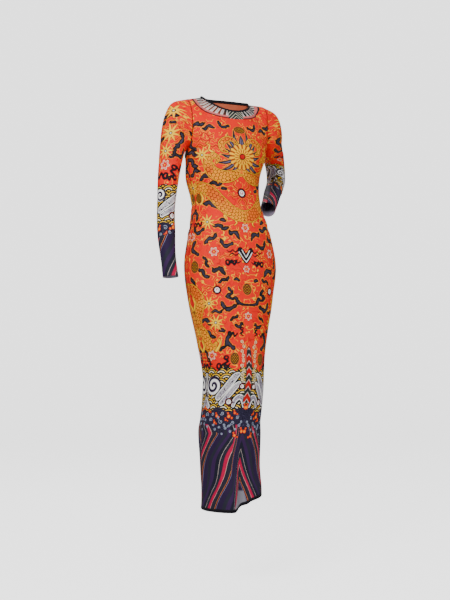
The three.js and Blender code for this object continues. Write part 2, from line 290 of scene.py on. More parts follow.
def neck_point(u):
    """The point where neckline and shoulder seam meet on the side on which u lies."""
    x = NECK["x"] + np.sign(u) * NECK["out"]
    return stack(x, NECK["y"], NECK["z"] - NECK["tilt"] * x)


def upper_edge(side, u):
    """The neckline, half a wave from neck point to neck point, and the straight shoulder seams."""
    share = np.clip(np.abs(u) / NECK_SHARE, 0, 1)
    depth = np.cos(share * np.pi / 2)
    middle_y, middle_z = NECK_MIDDLE[side]
    neck = neck_point(u)
    line = stack(NECK["x"] + np.sign(u) * NECK["out"] * np.sin(share * np.pi / 2),
                 mix(neck[..., 1], middle_y, depth),
                 mix(neck[..., 2], middle_z, depth ** NECK_CURVE))
    along = np.clip((np.abs(u) - NECK_SHARE) / (1 - NECK_SHARE), 0, 1)[..., None]
    return np.where(along > 0, mix(neck, shoulder_point(u), along), line)


def armhole(side, u, t):
    """A panel's armhole: a cubic Bezier curve from the underarm, t = 0, to the shoulder point."""
    sign = np.sign(u)
    a, b = [stack(CHEST_X + sign * x, y, z) for x, y, z in ARMHOLE[side]]
    start = body_point(column_turn(side, sign), np.full(np.shape(sign), UNDERARM))
    s, t = (1 - t)[..., None], t[..., None]
    return s ** 3 * start + 3 * s * s * t * a + 3 * s * t * t * b + t ** 3 * shoulder_point(u)


def middle_line(side, t):
    """A panel's middle line from the underarm's height, t = 0, to the neck: a Hermite cubic."""
    turn = np.array(column_turn(side, 0.0))
    start, above = [body_point(turn, np.array(z)) for z in (UNDERARM, UNDERARM + 1)]
    end = upper_edge(side, np.array(0.0))
    return hermite(start, (above - start) * RISE, end, np.array(NECK_PULL[side], float), t[..., None])


def chest_arc(side, u, t):
    """A quarter of a superellipse between the middle line and the armhole."""
    angle = np.abs(u) * np.pi / 2
    across, along = np.sin(angle) ** ROUNDNESS, np.clip(np.cos(angle), 0, 1) ** ROUNDNESS
    middle, edge = middle_line(side, t), armhole(side, np.where(u < 0, -1.0, 1.0), t)
    return stack(mix(middle[..., 0], edge[..., 0], across),
                 mix(edge[..., 1], middle[..., 1], along),
                 mix(edge[..., 2], middle[..., 2], along))


def chest_point(side, u, t):
    """The cloth above the underarm: the arcs, drawn over to the upper edge as t rises to 1."""
    over = upper_edge(side, u) - chest_arc(side, u, np.ones_like(t))
    return chest_arc(side, u, t) + over * t[..., None] ** SHOULDER_CURVE


# The pieces' fine grids: columns across, and rows below and above the underarm. The inner face
# of the cloth has a row and a column for every INNER_STEP of the outer one.
PANEL_COLUMNS = 172
SKIRT_ROWS = 436
CHEST_ROWS = 60
INNER_STEP = 4

# Creases of the front and back, the same on both sides but for their depth: from and to, across
# from the middle line and up, then the width and the depths on the wearer's right and left.
CREASES = [
    (194, -156, 136, -124, 8, 3.6, 2.6),
    (194, -168, 126, -164, 9, 4.0, 3.0),
    (192, -188, 136, -218, 9, 3.2, 2.0),
    (188, -216, 146, -268, 10, 2.2, 2.8),
    (178, -300, 128, -316, 8, 1.8, 2.2),
    (178, -324, 92, -348, 10, 2.4, 2.6),
    (178, -354, 116, -362, 8, 2.4, 1.7),
    (184, -392, 102, -422, 11, 2.0, 2.4),
    (120, -760, 44, -905, 16, 2.6, 1.9),
    (150, -905, 92, -1075, 17, 3.0, 3.4),
    (62, -945, 34, -1090, 13, 2.2, 1.6),
    (126, -1080, 142, -1290, 12, 2.8, 2.0),
    (88, -1120, 98, -1290, 10, 2.0, 2.8),
    (62, -1050, 56, -1230, 10, 1.8, 1.4),
]
PLAY = 0.35              # height of the cloth's small uneven play


def groove(s, v, start, end, width):
    """A crease between two places: a trough exp(-(away / width)^2) that fades to its ends as a
    half sine, with a ridge half as high about a width and a half beside it."""
    start, end = np.array(start, float), np.array(end, float)
    length = np.linalg.norm(end - start)
    way = (end - start) / length
    along = ((s - start[0]) * way[0] + (v - start[1]) * way[1]) / length
    away = ((s - start[0]) * way[1] - (v - start[1]) * way[0]) / (width * (1 + 0.3 * np.sin(along * 5)))
    fade = np.sin(np.pi * np.clip(along * 0.8 + 0.1, 0, 1)) ** 1.5
    return fade * (np.exp(-away ** 2) - 0.5 * np.exp(-(away - 1.6) ** 2))


def crease_in(s, v):
    """How far the creases and a small uneven play press a panel's cloth in."""
    pressed = np.sin(s / 23 + v / 61) * np.sin(v / 37 - s / 53) + 0.5 * np.sin(s / 11 - v / 29)
    pressed *= PLAY
    for x, y, end_x, end_y, width, right, left in CREASES:
        pressed += right * groove(s, v, (-x, y), (-end_x, end_y), width)
        pressed += left * groove(s, v, (x, y), (end_x, end_y), width)
    return pressed


def lengths(points, axis):
    """Length run from the first row or column to each point."""
    steps = np.linalg.norm(np.diff(points, axis=axis), axis=-1)
    pad = [(1, 0) if side == axis else (0, 0) for side in range(2)]
    return np.cumsum(np.pad(steps, pad), axis=axis)


def outward(points):
    """Unit normals: the cross product of the grid's steps across and up."""
    return unit(np.cross(np.gradient(points, axis=1), np.gradient(points, axis=0)))


def panel_grid(side):
    """A panel's points and its print coordinates: s runs across from the middle line along the
    cloth, v is the height below the underarm and the length run up the cloth above it."""
    u = np.linspace(-1, 1, PANEL_COLUMNS + 1)[None, :]
    turn = column_turn(side, u)
    hem = read(HEM, "z", wrap(turn)) + HEM_BAND + SEAM
    skirt_z = mix(hem, UNDERARM, np.linspace(0, 1, SKIRT_ROWS + 1)[:, None])
    skirt = body_point(turn + 0 * skirt_z, skirt_z)
    t = np.linspace(0, 1 - SEAM / 2 / RISE, CHEST_ROWS + 1)[1:, None] + 0 * u
    points = np.concatenate([skirt, chest_point(side, u + 0 * t, t)])
    s = lengths(points, 1)
    s = s - s[:, PANEL_COLUMNS // 2][:, None]
    v = points[..., 2].copy()
    v[SKIRT_ROWS:] = UNDERARM + lengths(points[SKIRT_ROWS:], 0)
    return points, s, v


def add_wall(name, points, normals, wall, uv, attributes, materials, step=INNER_STEP):
    """A thin shell: the outer face is the grid, the inner one lies `wall` further in on every
    step-th row and column, RIM_IN back from the edges, and rim faces with one inner edge each
    join them. Points in millimetres become metres here."""
    rows, count = points.shape[:2]
    inner = drawn_in(points - wall * normals, RIM_IN).swapaxes(0, 1)
    inner = drawn_in(inner, RIM_IN).swapaxes(0, 1)[::step, ::step]

    def outer(row, column):
        return row * count + column

    def within(row, column):
        return rows * count + (row // step) * inner.shape[1] + column // step

    r, c = np.meshgrid(np.arange(rows - 1), np.arange(count - 1), indexing="ij")
    faces = np.stack([outer(r, c), outer(r, c + 1), outer(r + 1, c + 1), outer(r + 1, c)], -1)
    r, c = r[::step, ::step], c[::step, ::step]
    back = np.stack([within(r, c), within(r + step, c), within(r + step, c + step),
                     within(r, c + step)], -1)
    rims, top, end = [], rows - 1, count - 1
    for c in range(0, end, step):
        run = list(range(c, c + step + 1))
        rims.append([outer(0, x) for x in reversed(run)] + [within(0, c), within(0, c + step)])
        rims.append([outer(top, x) for x in run] + [within(top, c + step), within(top, c)])
    for r in range(0, top, step):
        run = list(range(r, r + step + 1))
        rims.append([outer(x, 0) for x in run] + [within(r + step, 0), within(r, 0)])
        rims.append([outer(x, end) for x in reversed(run)] + [within(r, end), within(r + step, end)])
    faces, back = faces.reshape(-1, 4), back.reshape(-1, 4)
    mesh = bpy.data.meshes.new(name)
    corners = np.concatenate([points.reshape(-1, 3), inner.reshape(-1, 3)]) * MILLIMETRE
    mesh.from_pydata(corners.tolist(), [], faces.tolist() + back.tolist() + rims)
    for material in materials:
        mesh.materials.append(material)
    slots = np.zeros(len(mesh.polygons), np.int32)
    slots[len(faces):len(faces) + len(back)] = len(materials) - 1
    mesh.polygons.foreach_set("material_index", slots)

    def both(values):
        shape = (-1,) + values.shape[2:]
        return np.concatenate([values.reshape(shape), values[::step, ::step].reshape(shape)])

    for key, values in attributes.items():
        kind, word = ("FLOAT_VECTOR", "vector") if values.ndim == 3 else ("FLOAT", "value")
        held = mesh.attributes.new(key, kind, "POINT")
        held.data.foreach_set(word, both(values).astype(np.float32).ravel())
    corner_point = np.empty(len(mesh.loops), np.int32)
    mesh.loops.foreach_get("vertex_index", corner_point)
    layer = mesh.uv_layers.new(name="print")
    layer.data.foreach_set("uv", both(uv)[corner_point].astype(np.float32).ravel())
    mesh.shade_smooth()
    mesh.update()
    piece = bpy.data.objects.new(name, mesh)
    bpy.context.scene.collection.objects.link(piece)
    return piece


def drawn_in(points, reach):
    """The grid with its outer columns drawn in by `reach`."""
    points = points.copy()
    for edge, beside in ((0, 1), (-1, -2)):
        points[:, edge] += reach * unit(points[:, beside] - points[:, edge])
    return points


# The print is placed on each piece flat: each motif is a row of a short table, with its distance
# from the middle line, its height v, its size and its turn. It is the same on both sides of the
# middle line but for a little play.
FAR = 60.0               # a distance that no motif's edge reaches
MOTIF_EDGE = 1.35        # a round motif's place is true up to this share of its size,
MOTIF_END = 1.9          # is pushed outwards from there to this one,
MOTIF_PUSH = 30          # as many times as this, and is FAR beyond it
COLOUR_FIELDS = "cloud gold flare ink white foam coral leaf mountain rim"
MOTIF_FIELDS = "star bloom badge spiral curl flower scroll collar"
CLOUD_SIZE = 1.12
CLOUDS = dict(
    drift=[(-22, 5, 2.5), (-15, 0, 6.5), (-8, -4, 5), (0, 1, 7), (8, 3, 5.5), (15, -2, 6), (22, -3, 2)],
    hook=[(-18, -8, 2.5), (-11, -3, 6), (-3, 3, 7.5), (6, 1, 5.5), (13, -5, 6.5), (19, 1, 3)],
    branch=[(-17, 9, 6), (-10, 3, 5), (-2, -3, 7), (7, -1, 5), (13, 5, 6.5), (17, 12, 4)],
    drop=[(-8, -1, 5), (0, 1, 7.5), (8, -1, 4)],
)
PANEL_CLOUDS = [
    ("drift", 136, -84, 1.0, 10), ("hook", 100, -97, 0.9, -15), ("branch", 54, -93, 0.9, 20),
    ("branch", 172, -150, 1.1, 70), ("drift", 166, -178, 1.1, 15), ("drift", 172, -206, 1.1, 40),
    ("hook", 160, -236, 1.0, -25), ("drift", 118, -252, 1.1, -25), ("drift", 88, -277, 0.9, 5),
    ("drop", 62, -292, 0.8, 0), ("drop", 76, -392, 0.9, 15), ("drift", 106, -341, 1.2, 15),
    ("hook", 166, -372, 0.9, 80), ("branch", 160, -426, 1.0, 5), ("drift", 84, -413, 1.0, 15),
    ("hook", 37, -434, 1.0, 25), ("drift", 116, -450, 1.0, -30), ("branch", 68, -470, 1.0, 15),
    ("branch", 176, -480, 1.1, 70), ("hook", 88, -549, 1.1, 15), ("drift", 140, -556, 1.0, 45),
    ("drift", 75, -580, 0.8, -20), ("drop", 34, -578, 0.8, 10), ("drift", 130, -522, 0.8, 70),
    ("branch", 68, -668, 1.1, 10), ("drift", 104, -678, 0.8, 0), ("drift", 152, -650, 0.9, 35),
    ("hook", 143, -706, 1.0, 20), ("drift", 132, -748, 0.9, 40), ("branch", 72, -772, 1.2, 80),
    ("drift", 50, -698, 0.7, -30), ("drift", 178, -592, 1.1, 70), ("hook", 176, -690, 1.0, 65),
    ("drop", 92, -738, 0.9, 0), ("hook", 36, -722, 0.8, 170), ("drift", 150, -812, 0.8, 60),
    ("drift", 90, -792, 0.7, -40),
]
GARLAND = [(60, -608, 7), (50, -620, 5), (68, -630, 6.5), (52, -640, 5), (40, -636, 7), (32, -650, 7),
           (14, -655, 4.5), (0, -655, 4)]
SLEEVE_CLOUDS = [("drift", 12, -106, 1, 10), ("hook", -12, -134, 1, 40), ("drop", 30, -128, 0.8, 0),
                 ("drift", 56, -220, 1.1, 60), ("branch", 74, -184, 1.1, 80), ("drop", 4, -182, 0.9, 40),
                 ("branch", 84, -232, 1, 30), ("drift", -50, -156, 1.1, -30), ("hook", -60, -226, 1.1, 20),
                 ("branch", -100, -126, 1, 60), ("drift", -96, -266, 1, 80), ("drift", 104, -146, 1, 0)]

# Rays of gold: the distance across, the height and the length of the rays.
PANEL_STARS = [(132, -186, 27), (126, -396, 25), (127, -652, 23), (110, -713, 26), (172, -286, 22),
               (186, -742, 22)]
SLEEVE_STARS = [(18, -88, 27), (32, -164, 31), (24, -220, 25), (-70, -102, 26), (-30, -252, 24),
                (-88, -202, 26)]

# Flowers and round badges: the distance across, the height and the size; a badge has a width too.
PANEL_BLOOMS = [(0, -413, 16), (105, -491, 17), (128, -816, 18), (0, -543, 13), (0, -691, 15),
                (186, -440, 15)]
SLEEVE_BLOOMS = [(24, -263, 19), (-84, -312, 16), (88, -294, 14)]
PANEL_BADGES = [(0, -101, 19, 12), (171, -535, 15, 19), (0, -606, 15, 18), (52, -826, 14, 19),
                (152, -320, 12, 15)]
SLEEVE_BADGES = [(100, -100, 14, 17), (-30, -195, 13, 16)]

# Pearls and the heads of the waves are discs with a spiral line.
PANEL_PEARLS = [(0, -303, 14), (98, -611, 12)]
PANEL_WAVE_HEADS = [(122, -911, 29), (24, -912, 9), (60, -962, 11), (172, -940, 21)]
SLEEVE_WAVE_HEADS = [(8, -357, 20), (-70, -363, 19), (80, -371, 18), (50, -425, 12), (-30, -429, 12)]

# The gold of the chest and the waist: scaled scrolls, as chains of places and half widths.
SCROLLS = [
    [(6, -236, 10), (28, -250, 15), (60, -256, 19), (96, -242, 18), (112, -212, 14), (96, -190, 9),
     (78, -200, 5), (84, -214, 2)],
    [(16, -150, 3), (30, -136, 7), (50, -138, 9), (66, -152, 10), (64, -172, 7), (50, -178, 3)],
    [(142, -318, 3), (156, -304, 7), (146, -288, 12), (124, -290, 17), (100, -308, 20), (80, -332, 21),
     (56, -356, 21), (28, -372, 20), (0, -376, 18)],
    [(204, -600, 15), (178, -612, 18), (158, -644, 18), (172, -684, 17), (176, -722, 16),
     (154, -750, 16), (140, -786, 14), (124, -792, 10), (112, -778, 5)],
]
TONGUES = [
    [(160, -330, 6), (151, -310, 4), (160, -290, 3), (154, -268, 1)],
    [(146, -334, 6), (134, -320, 4), (140, -304, 2.5), (134, -292, 1)],
    [(178, -322, 6), (172, -300, 4), (180, -282, 2.5), (174, -262, 1)],
    [(190, -668, 6), (180, -650, 4), (188, -632, 3), (180, -614, 1)],
    [(168, -800, 5), (160, -784, 4), (168, -770, 2.5), (160, -756, 1)],
    [(112, -800, 5), (102, -788, 3.5), (98, -774, 2.5), (104, -762, 1)],
    [(20, -378, 4), (36, -388, 3), (30, -398, 2), (40, -408, 1)],
    [(58, -372, 4), (70, -378, 3), (66, -390, 1)],
    [(6, -960, 5), (11, -940, 3.5), (7, -925, 2.5), (14, -905, 1)],
    [(20, -962, 5), (28, -946, 3.5), (24, -932, 2.5), (33, -916, 1)],
    [(34, -966, 4), (44, -956, 3), (42, -944, 2), (52, -936, 1)],
    [(92, -182, 3), (108, -170, 2.5), (104, -158, 2), (116, -150, 0.8)],
]
LEAVES = 9               # dark leaves on each side of the chest's flower
LEAF_REACH = (62, 92)    # lengths of the shortest and the longest leaf
CHEST_BLOOM = (0, -190, 45)

# Thin red flames, dark twists and white lines.
FLAME_LINES = [
    [(150, -118, 1.2), (132, -124, 1.6), (118, -116, 1.6), (102, -126, 1.6), (86, -119, 1.2)],
    [(160, -134, 1.2), (142, -142, 1.8), (128, -133, 1.6), (112, -144, 1.8), (96, -136, 1.6),
    (84, -144, 1)],
    [(150, -158, 1.2), (136, -150, 1.6), (124, -160, 1.8), (108, -154, 1.8), (96, -164, 2), (84, -158, 2.4),
     (74, -168, 2), (66, -163, 1)],
    [(128, -108, 1), (122, -120, 1.4), (130, -132, 1.4), (122, -146, 1)],
    [(102, -112, 1), (108, -124, 1.4), (100, -138, 1.6), (106, -152, 1)],
    [(6, -322, 2), (16, -332, 1.8), (10, -342, 1.4), (18, -352, 0.8)],
    [(16, -290, 2), (28, -282, 1.8), (26, -270, 1.4), (38, -262, 0.8)],
    [(14, -312, 2), (30, -316, 1.6), (40, -308, 1.2), (50, -314, 0.8)],
    [(112, -604, 1.6), (124, -598, 1.4), (134, -606, 1.2), (146, -600, 0.8)],
    [(84, -604, 1.6), (74, -596, 1.4), (70, -586, 0.8)],
    [(98, -596, 1.6), (104, -584, 1.4), (98, -574, 0.8)],
    [(40, -500, 1), (56, -508, 1.4), (72, -504, 1.4), (88, -512, 0.8)],
    [(120, -740, 1), (110, -752, 1.4), (116, -764, 1.4), (106, -776, 0.8)],
]
TWIST = [(-15, 7, 1.6), (-9, -5, 2.2), (-2, 5, 2), (4, -6, 2.4), (10, -5, 2), (11, 2, 1.8), (6, 4, 1.6),
         (4, 0, 1.4)]
PANEL_TWISTS = [(156, -850, 1.1, 0), (92, -850, 1.1, 10), (78, -832, 0.9, 95), (140, -834, 0.7, 60),
                (52, -524, 1.0, 5), (186, -300, 1, 90), (164, -402, 0.9, 0), (186, -820, 1, 80),
                (60, -748, 0.8, 20), (26, -738, 0.7, 100)]
SLEEVE_TWISTS = [(16, -296, 1.2, 0), (52, -282, 1.1, 80), (50, -304, 0.9, 10), (-40, -298, 1.2, 0),
                 (88, -270, 1, 20), (-84, -272, 1, 30)]
CHEVRON = [(20, -484, 9), (9, -500, 11), (0, -514, 11)]
CHEVRON_LINES = [[(14, -484, 1.5), (6, -497, 1.5), (0, -506, 1.5)],
                 [(24, -490, 1.5), (12, -507, 1.5), (0, -521, 1.5)]]
CHEVRON_WINGS = [
    [(27, -484, 1.4), (36, -492, 1.6), (45, -485, 1.6), (54, -493, 1.6), (64, -487, 1)],
    [(26, -496, 1.2), (36, -502, 1.6), (46, -496, 1.6), (57, -504, 1)],
    [(20, -520, 1.6), (29, -526, 1.8), (38, -518, 1.8), (48, -527, 1.8), (58, -522, 1)],
]

# The sea at the foot of the print: the height of its top and bottom, its fat arms of water, the
# mountain's half width at each height, and coral and curls of foam on the dark water below.
SEA_TOP, SEA_FOOT = -866, -985
SLEEVE_SEA_TOP, SLEEVE_SEA_FOOT = -330, -450
PANEL_ARMS = [
    [(98, -948, 10), (74, -918, 11), (50, -884, 10), (38, -874, 6)],
    [(84, -966, 8), (64, -940, 9), (46, -914, 9), (34, -902, 6)],
    [(10, -972, 6), (17, -952, 8), (30, -945, 8), (42, -958, 7), (45, -974, 5)],
    [(140, -976, 8), (156, -950, 8), (160, -912, 7), (156, -876, 5)],
    [(176, -980, 8), (186, -940, 8), (178, -900, 7), (186, -874, 5)],
]
SLEEVE_ARMS = [
    [(6, -405, 9), (34, -385, 10), (62, -365, 9), (74, -353, 6)],
    [(16, -421, 8), (48, -403, 9), (74, -385, 8), (90, -379, 5)],
    [(-44, -423, 8), (-34, -389, 9), (-44, -357, 8), (-34, -339, 5)],
    [(-80, -423, 8), (-92, -393, 9), (-106, -365, 8), (-98, -345, 5)],
    [(96, -433, 8), (108, -405, 9), (100, -371, 8), (112, -345, 5)],
]
SHELL = dict(across=38, up=16, radius=26)
SCALE_PITCH = 11.0       # size of one scale of the golden scrolls
MOUNTAIN = columns("v half", [(-962, 15), (-940, 13), (-900, 11.5), (-850, 10), (-815, 8), (-795, 5),
                              (-784, 0.5)])
PANEL_CORAL = [(152, -980, 6), (157, -1004, 6), (95, -1006, 6), (101, -1027, 5), (54, -1007, 7),
               (3, -977, 7),
               (62, -1018, 4), (6, -1052, 7), (30, -1066, 6), (128, -992, 4), (36, -996, 5),
               (180, -1010, 6)]
SLEEVE_CORAL = [(4, -465, 7), (54, -461, 8), (80, -471, 5), (-40, -463, 7), (-84, -467, 6), (28, -481, 4)]
PANEL_CURLS = [(136, -1002, 8), (118, -1018, 7), (146, -1032, 6), (78, -1024, 8), (76, -998, 7),
               (112, -1000, 6),
               (40, -1026, 7), (26, -1010, 6), (18, -1034, 6), (60, -1044, 5), (128, -1040, 5),
               (168, -1030, 7),
               (96, -1048, 5), (186, -1040, 6), (44, -1054, 5), (88, -1012, 5),
               (66, -1034, 5), (104, -1034, 5), (152, -1016, 6), (12, -1022, 5), (50, -1036, 5),
               (30, -1046, 4),
               (82, -1042, 5), (140, -1018, 5), (172, -1006, 6), (70, -1062, 4), (158, -1048, 5)]
SLEEVE_CURLS = [(26, -463, 8), (40, -477, 6), (68, -483, 7), (10, -483, 6), (-20, -471, 7), (-62, -477, 7),
                (92, -493, 6), (-100, -483, 7), (-44, -491, 6)]

# The slanted stripes below the sea: how much they drop for each step outwards, the width of one
# repeat of their colours, their waver, and the cloth that the front fold hides.
STRIPES = dict(drop=2.1, left_drop=2.7, repeat=225, first=1132, sway=7, hidden=56)
SLEEVE_STRIPES = dict(drop=1.6, repeat=190, first=660, sway=5)
STRIPES_TOP, SLEEVE_STRIPES_TOP = -1046, -492

# Where the cloth is stretched and its colours are paler: how much, then the place across and up,
# and the width and height of that place. Small curls climb the mountain's foot.
STRETCHED = [(1.0, 40, -135, 85, 65), (0.6, 0, -560, 95, 115)]
CLIMBING_CURLS = range(-892, -762, 15)
SHEER_TOP = -1238.0      # below this height the middle of the front shows grey through the mesh
COLLAR = dict(front=(174, 106, 45), back=(174, 106, 84))


def smooth_chain(nodes, steps=3):
    """The nodes of a chain with `steps` points for each link, on uniform Catmull-Rom curves."""
    nodes = np.array(nodes, float)
    padded = np.concatenate([[2 * nodes[0] - nodes[1]], nodes, [2 * nodes[-1] - nodes[-2]]])
    t = np.linspace(0, 1, steps, endpoint=False)[:, None]
    links = [hermite(b, (c - a) / 2, c, (d - b) / 2, t)
             for a, b, c, d in zip(padded, padded[1:], padded[2:], padded[3:])]
    return np.concatenate([*links, nodes[-1:]])


def placed(nodes, x, y, size, turn):
    """A chain scaled, turned by degrees and moved to its place."""
    nodes = np.array(nodes, float) * size
    c, s = math.cos(math.radians(turn)), math.sin(math.radians(turn))
    return np.stack([x + c * nodes[:, 0] - s * nodes[:, 1], y + s * nodes[:, 0] + c * nodes[:, 1],
                     nodes[:, 2]], axis=1)


class Print:
    """The print of one piece. For each colour it holds how far each point lies outside that
    colour's shapes, and for each kind of round motif the point's place in the nearest one."""

    def __init__(self, s, v):
        self.s, self.v = s, v
        self.fields = {name: np.full(s.shape, FAR) for name in COLOUR_FIELDS.split()}
        for kind in MOTIF_FIELDS.split():
            self.fields[kind] = np.full(s.shape + (3,), FAR)
        self.fields["scroll"][..., 2] = -FAR
        self.fields["stretch"] = np.zeros_like(s)

    def draw(self, name, nodes):
        """Adds a chain of tapering beads: the distance to a link's nearest point, less the radius
        mixed there, and the smallest of these."""
        nodes = smooth_chain(nodes)
        low, high = nodes[:, :2].min(axis=0) - FAR / 3, nodes[:, :2].max(axis=0) + FAR / 3
        near = np.nonzero((self.s > low[0]) & (self.s < high[0]) & (self.v > low[1]) & (self.v < high[1]))
        s, v, best = self.s[near], self.v[near], self.fields[name][near]
        for (x, y, radius), (end_x, end_y, end_radius) in zip(nodes, nodes[1:]):
            across, up = end_x - x, end_y - y
            t = np.clip(((s - x) * across + (v - y) * up) / (across ** 2 + up ** 2), 0, 1)
            away = np.hypot(s - x - t * across, v - y - t * up) - mix(radius, end_radius, t)
            best = np.minimum(best, away)
        self.fields[name][near] = best

    def dot(self, name, x, y, radius):
        """Adds a disc: the distance to its centre less its radius."""
        away = np.hypot(self.s - x, self.v - y) - radius
        self.fields[name] = np.minimum(self.fields[name], away)

    def place(self, kind, x, y, across, up, turn=0.0):
        """Adds a round motif: the point's place from its centre, in its half width and height,
        where that is nearer than the motifs before it. The third number is the half width. Beyond
        MOTIF_EDGE the place is pushed outwards, so that no neighbour's edge shows there."""
        c, s = math.cos(math.radians(turn)), math.sin(math.radians(turn))
        a, b = self.s - x, self.v - y
        own = stack((c * a + s * b) / across, (c * b - s * a) / up, across)
        reach, near = np.hypot(own[..., 0], own[..., 1])[..., None], own[..., :2]
        pushed = np.where(reach > MOTIF_EDGE, MOTIF_PUSH * near, near)
        own[..., :2] = np.where(reach > MOTIF_END, FAR, pushed)
        held = self.fields[kind]
        nearer = np.hypot(own[..., 0], own[..., 1]) < np.hypot(held[..., 0], held[..., 1])
        self.fields[kind] = np.where(nearer[..., None], own, held)

    def scroll(self, nodes):
        """Adds a band: the length run along its middle, the way across it, and how far the point
        lies inside its edge."""
        nodes = smooth_chain(nodes, 4)
        run = 0.0
        for (x, y, radius), (end_x, end_y, end_radius) in zip(nodes, nodes[1:]):
            across, up = end_x - x, end_y - y
            length = math.hypot(across, up)
            t = np.clip(((self.s - x) * across + (self.v - y) * up) / length ** 2, 0, 1)
            a, b = self.s - x - t * across, self.v - y - t * up
            inside = mix(radius, end_radius, t) - np.hypot(a, b)
            beside = np.sign(across * b - up * a) * np.hypot(a, b)
            own = stack(run + t * length, beside, inside)
            held = self.fields["scroll"]
            self.fields["scroll"] = np.where((inside > held[..., 2])[..., None], own, held)
            run += length


def shared_print(laid, clouds, stars, blooms, badges, heads, twists, arms, coral, curls):
    """Draws the tables that panels and sleeves both have."""
    for shape, x, y, size, turn in clouds:
        laid.draw("cloud", placed(CLOUDS[shape], x, y, size * CLOUD_SIZE, turn))
    for x, y, size in stars:
        laid.place("star", x, y, size * 1.15, size * 1.15, x + y)
    for x, y, size in blooms:
        laid.place("bloom", x, y, size, size, x - y)
    for x, y, across, up in badges:
        laid.place("badge", x, y, across, up)
    for x, y, size in heads:
        laid.place("spiral", x, y, size, size, x)
    for x, y, size, turn in twists:
        laid.draw("ink", placed(TWIST, x, y, size * 1.35, turn))
    for chain in arms:
        laid.draw("foam", chain)
    for x, y, radius in coral:
        laid.dot("coral", x, y, radius * 0.85)
        laid.dot("coral", x - radius * 1.5, y - radius * 0.7, radius * 0.55)
        laid.dot("coral", x + radius * 0.5, y + radius * 1.4, radius * 0.5)
    for x, y, radius in curls:
        laid.place("curl", x, y, radius, radius, 40 * x)


def panel_print(side, s, v):
    """The print of the front or the back."""
    away = np.abs(s) + 3 * np.sin(v / 71 + np.where(s > 0, 1.7, 0.0)) * np.clip(np.abs(s) / 40, 0, 1)
    height = v + 3 * np.sin(s / 47)
    laid = Print(away, height)
    shared_print(laid, PANEL_CLOUDS, PANEL_STARS, PANEL_BLOOMS, PANEL_BADGES,
                 PANEL_PEARLS + PANEL_WAVE_HEADS, PANEL_TWISTS, PANEL_ARMS, PANEL_CORAL, PANEL_CURLS)
    laid.draw("cloud", GARLAND)
    for chain in SCROLLS:
        laid.scroll(chain)
    for chain in TONGUES:
        laid.draw("gold", chain)
    for chain in FLAME_LINES:
        laid.draw("flare", chain)
    for chain in [CHEVRON, *CHEVRON_WINGS]:
        laid.draw("ink", chain)
    for chain in CHEVRON_LINES:
        laid.draw("white", chain)
    x, y, radius = CHEST_BLOOM
    laid.place("flower", x, y, radius, radius * 0.92)
    for share, turn in zip(np.linspace(0, 1, LEAVES), np.radians(np.linspace(-62, 84, LEAVES))):
        reach = mix(*LEAF_REACH, 0.5 + 0.5 * math.sin(share * 9))
        laid.draw("leaf", [(x + r * math.cos(turn + bend), y + r * math.sin(turn + bend), width)
                           for r, bend, width in ((24, 0, 5), (reach * 0.65, 0.06, 5.5),
                           (reach, 0.2, 0.8))])
    for climb in CLIMBING_CURLS:
        laid.place("curl", 24 + 5 * math.sin(climb), climb, 7, 7, 90 * math.sin(climb))
    fields = laid.fields
    foot, top = MOUNTAIN["v"][[0, -1]]
    fields["mountain"] = away - read(MOUNTAIN, "half", height) + np.where(height > top, FAR, 0)
    fields["mountain"] = np.where(height < foot, FAR, fields["mountain"])
    fields["sea"] = SEA_TOP + 14 * np.abs(np.sin(away / 19 + 0.6)) - height
    fields["deep"] = SEA_FOOT + 7 * np.sin(away / 12) - height
    across, up, middle = COLLAR[side]
    fields["collar"] = stack(np.arctan2(away / across, (middle - v) / up),
                             np.hypot(away / across, (v - middle) / up), 0.0)
    fold = np.clip((-1000 - v) / 60, 0, 1) * np.clip((-s - 8) / 26, 0, 1) if side == "front" else 0
    sway = STRIPES["sway"] * np.sin(v / 24 + away / 60) * np.clip(away / 60, 0, 1)
    slope = np.where(s > 0, STRIPES["left_drop"], STRIPES["drop"])
    drop = -v - slope * (away + STRIPES["hidden"] * fold + sway)
    fields["stripe"] = (drop - STRIPES["first"]) / STRIPES["repeat"]
    fields["stripes_from"] = STRIPES_TOP + 14 * np.sin(away / 17) - height
    fields["stretch"] = sum(share * np.exp(-((away - x) / wide) ** 2 - ((v - y) / tall) ** 2)
                            for share, x, y, wide, tall in STRETCHED)
    fields["lay"] = stack(away, height, 1.0 if side == "front" else 0.0)
    return fields


def seam_distance(s, v):
    """How far a point lies from the panel's side and shoulder seams and armholes."""
    edge = np.where(s > 0, s.max(axis=1, keepdims=True), -s.min(axis=1, keepdims=True))
    sewn = np.abs(np.linspace(-1, 1, s.shape[1])) >= NECK_SHARE
    return np.minimum(edge - np.abs(s), np.where(sewn, v[-1:] - v, FAR))


class Tone:
    """The output of a node. Arithmetic on it adds further nodes to its material."""

    def __init__(self, recipe, socket):
        self.recipe, self.socket = recipe, socket

    def reckon(self, operation, *others):
        return self.recipe.add("ShaderNodeMath", dict(operation=operation), dict(enumerate((self, *others))))

    def __add__(self, other):
        return self.reckon("ADD", other)

    def __sub__(self, other):
        return self.reckon("SUBTRACT", other)

    def __mul__(self, other):
        return self.reckon("MULTIPLY", other)

    def __truediv__(self, other):
        return self.reckon("DIVIDE", other)

    def __mod__(self, other):
        return self.reckon("FLOORED_MODULO", other)

    def __abs__(self):
        return self.reckon("ABSOLUTE")

    def __rsub__(self, other):
        return self * -1.0 + other


def paint(red, green, blue):
    """The dye for a colour that is to look like red, green and blue of 255 in the room's light:
    deepest - 1.08 (deepest - light), with light = 0.95 shown^2.4, because light bleaches it."""
    light = 0.95 * (np.array([red, green, blue]) / 255) ** 2.4
    dye = np.clip(light.max() - 1.08 * (light.max() - light), 0.0, 1.0) + 0.003
    return (*dye.tolist(), 1.0)


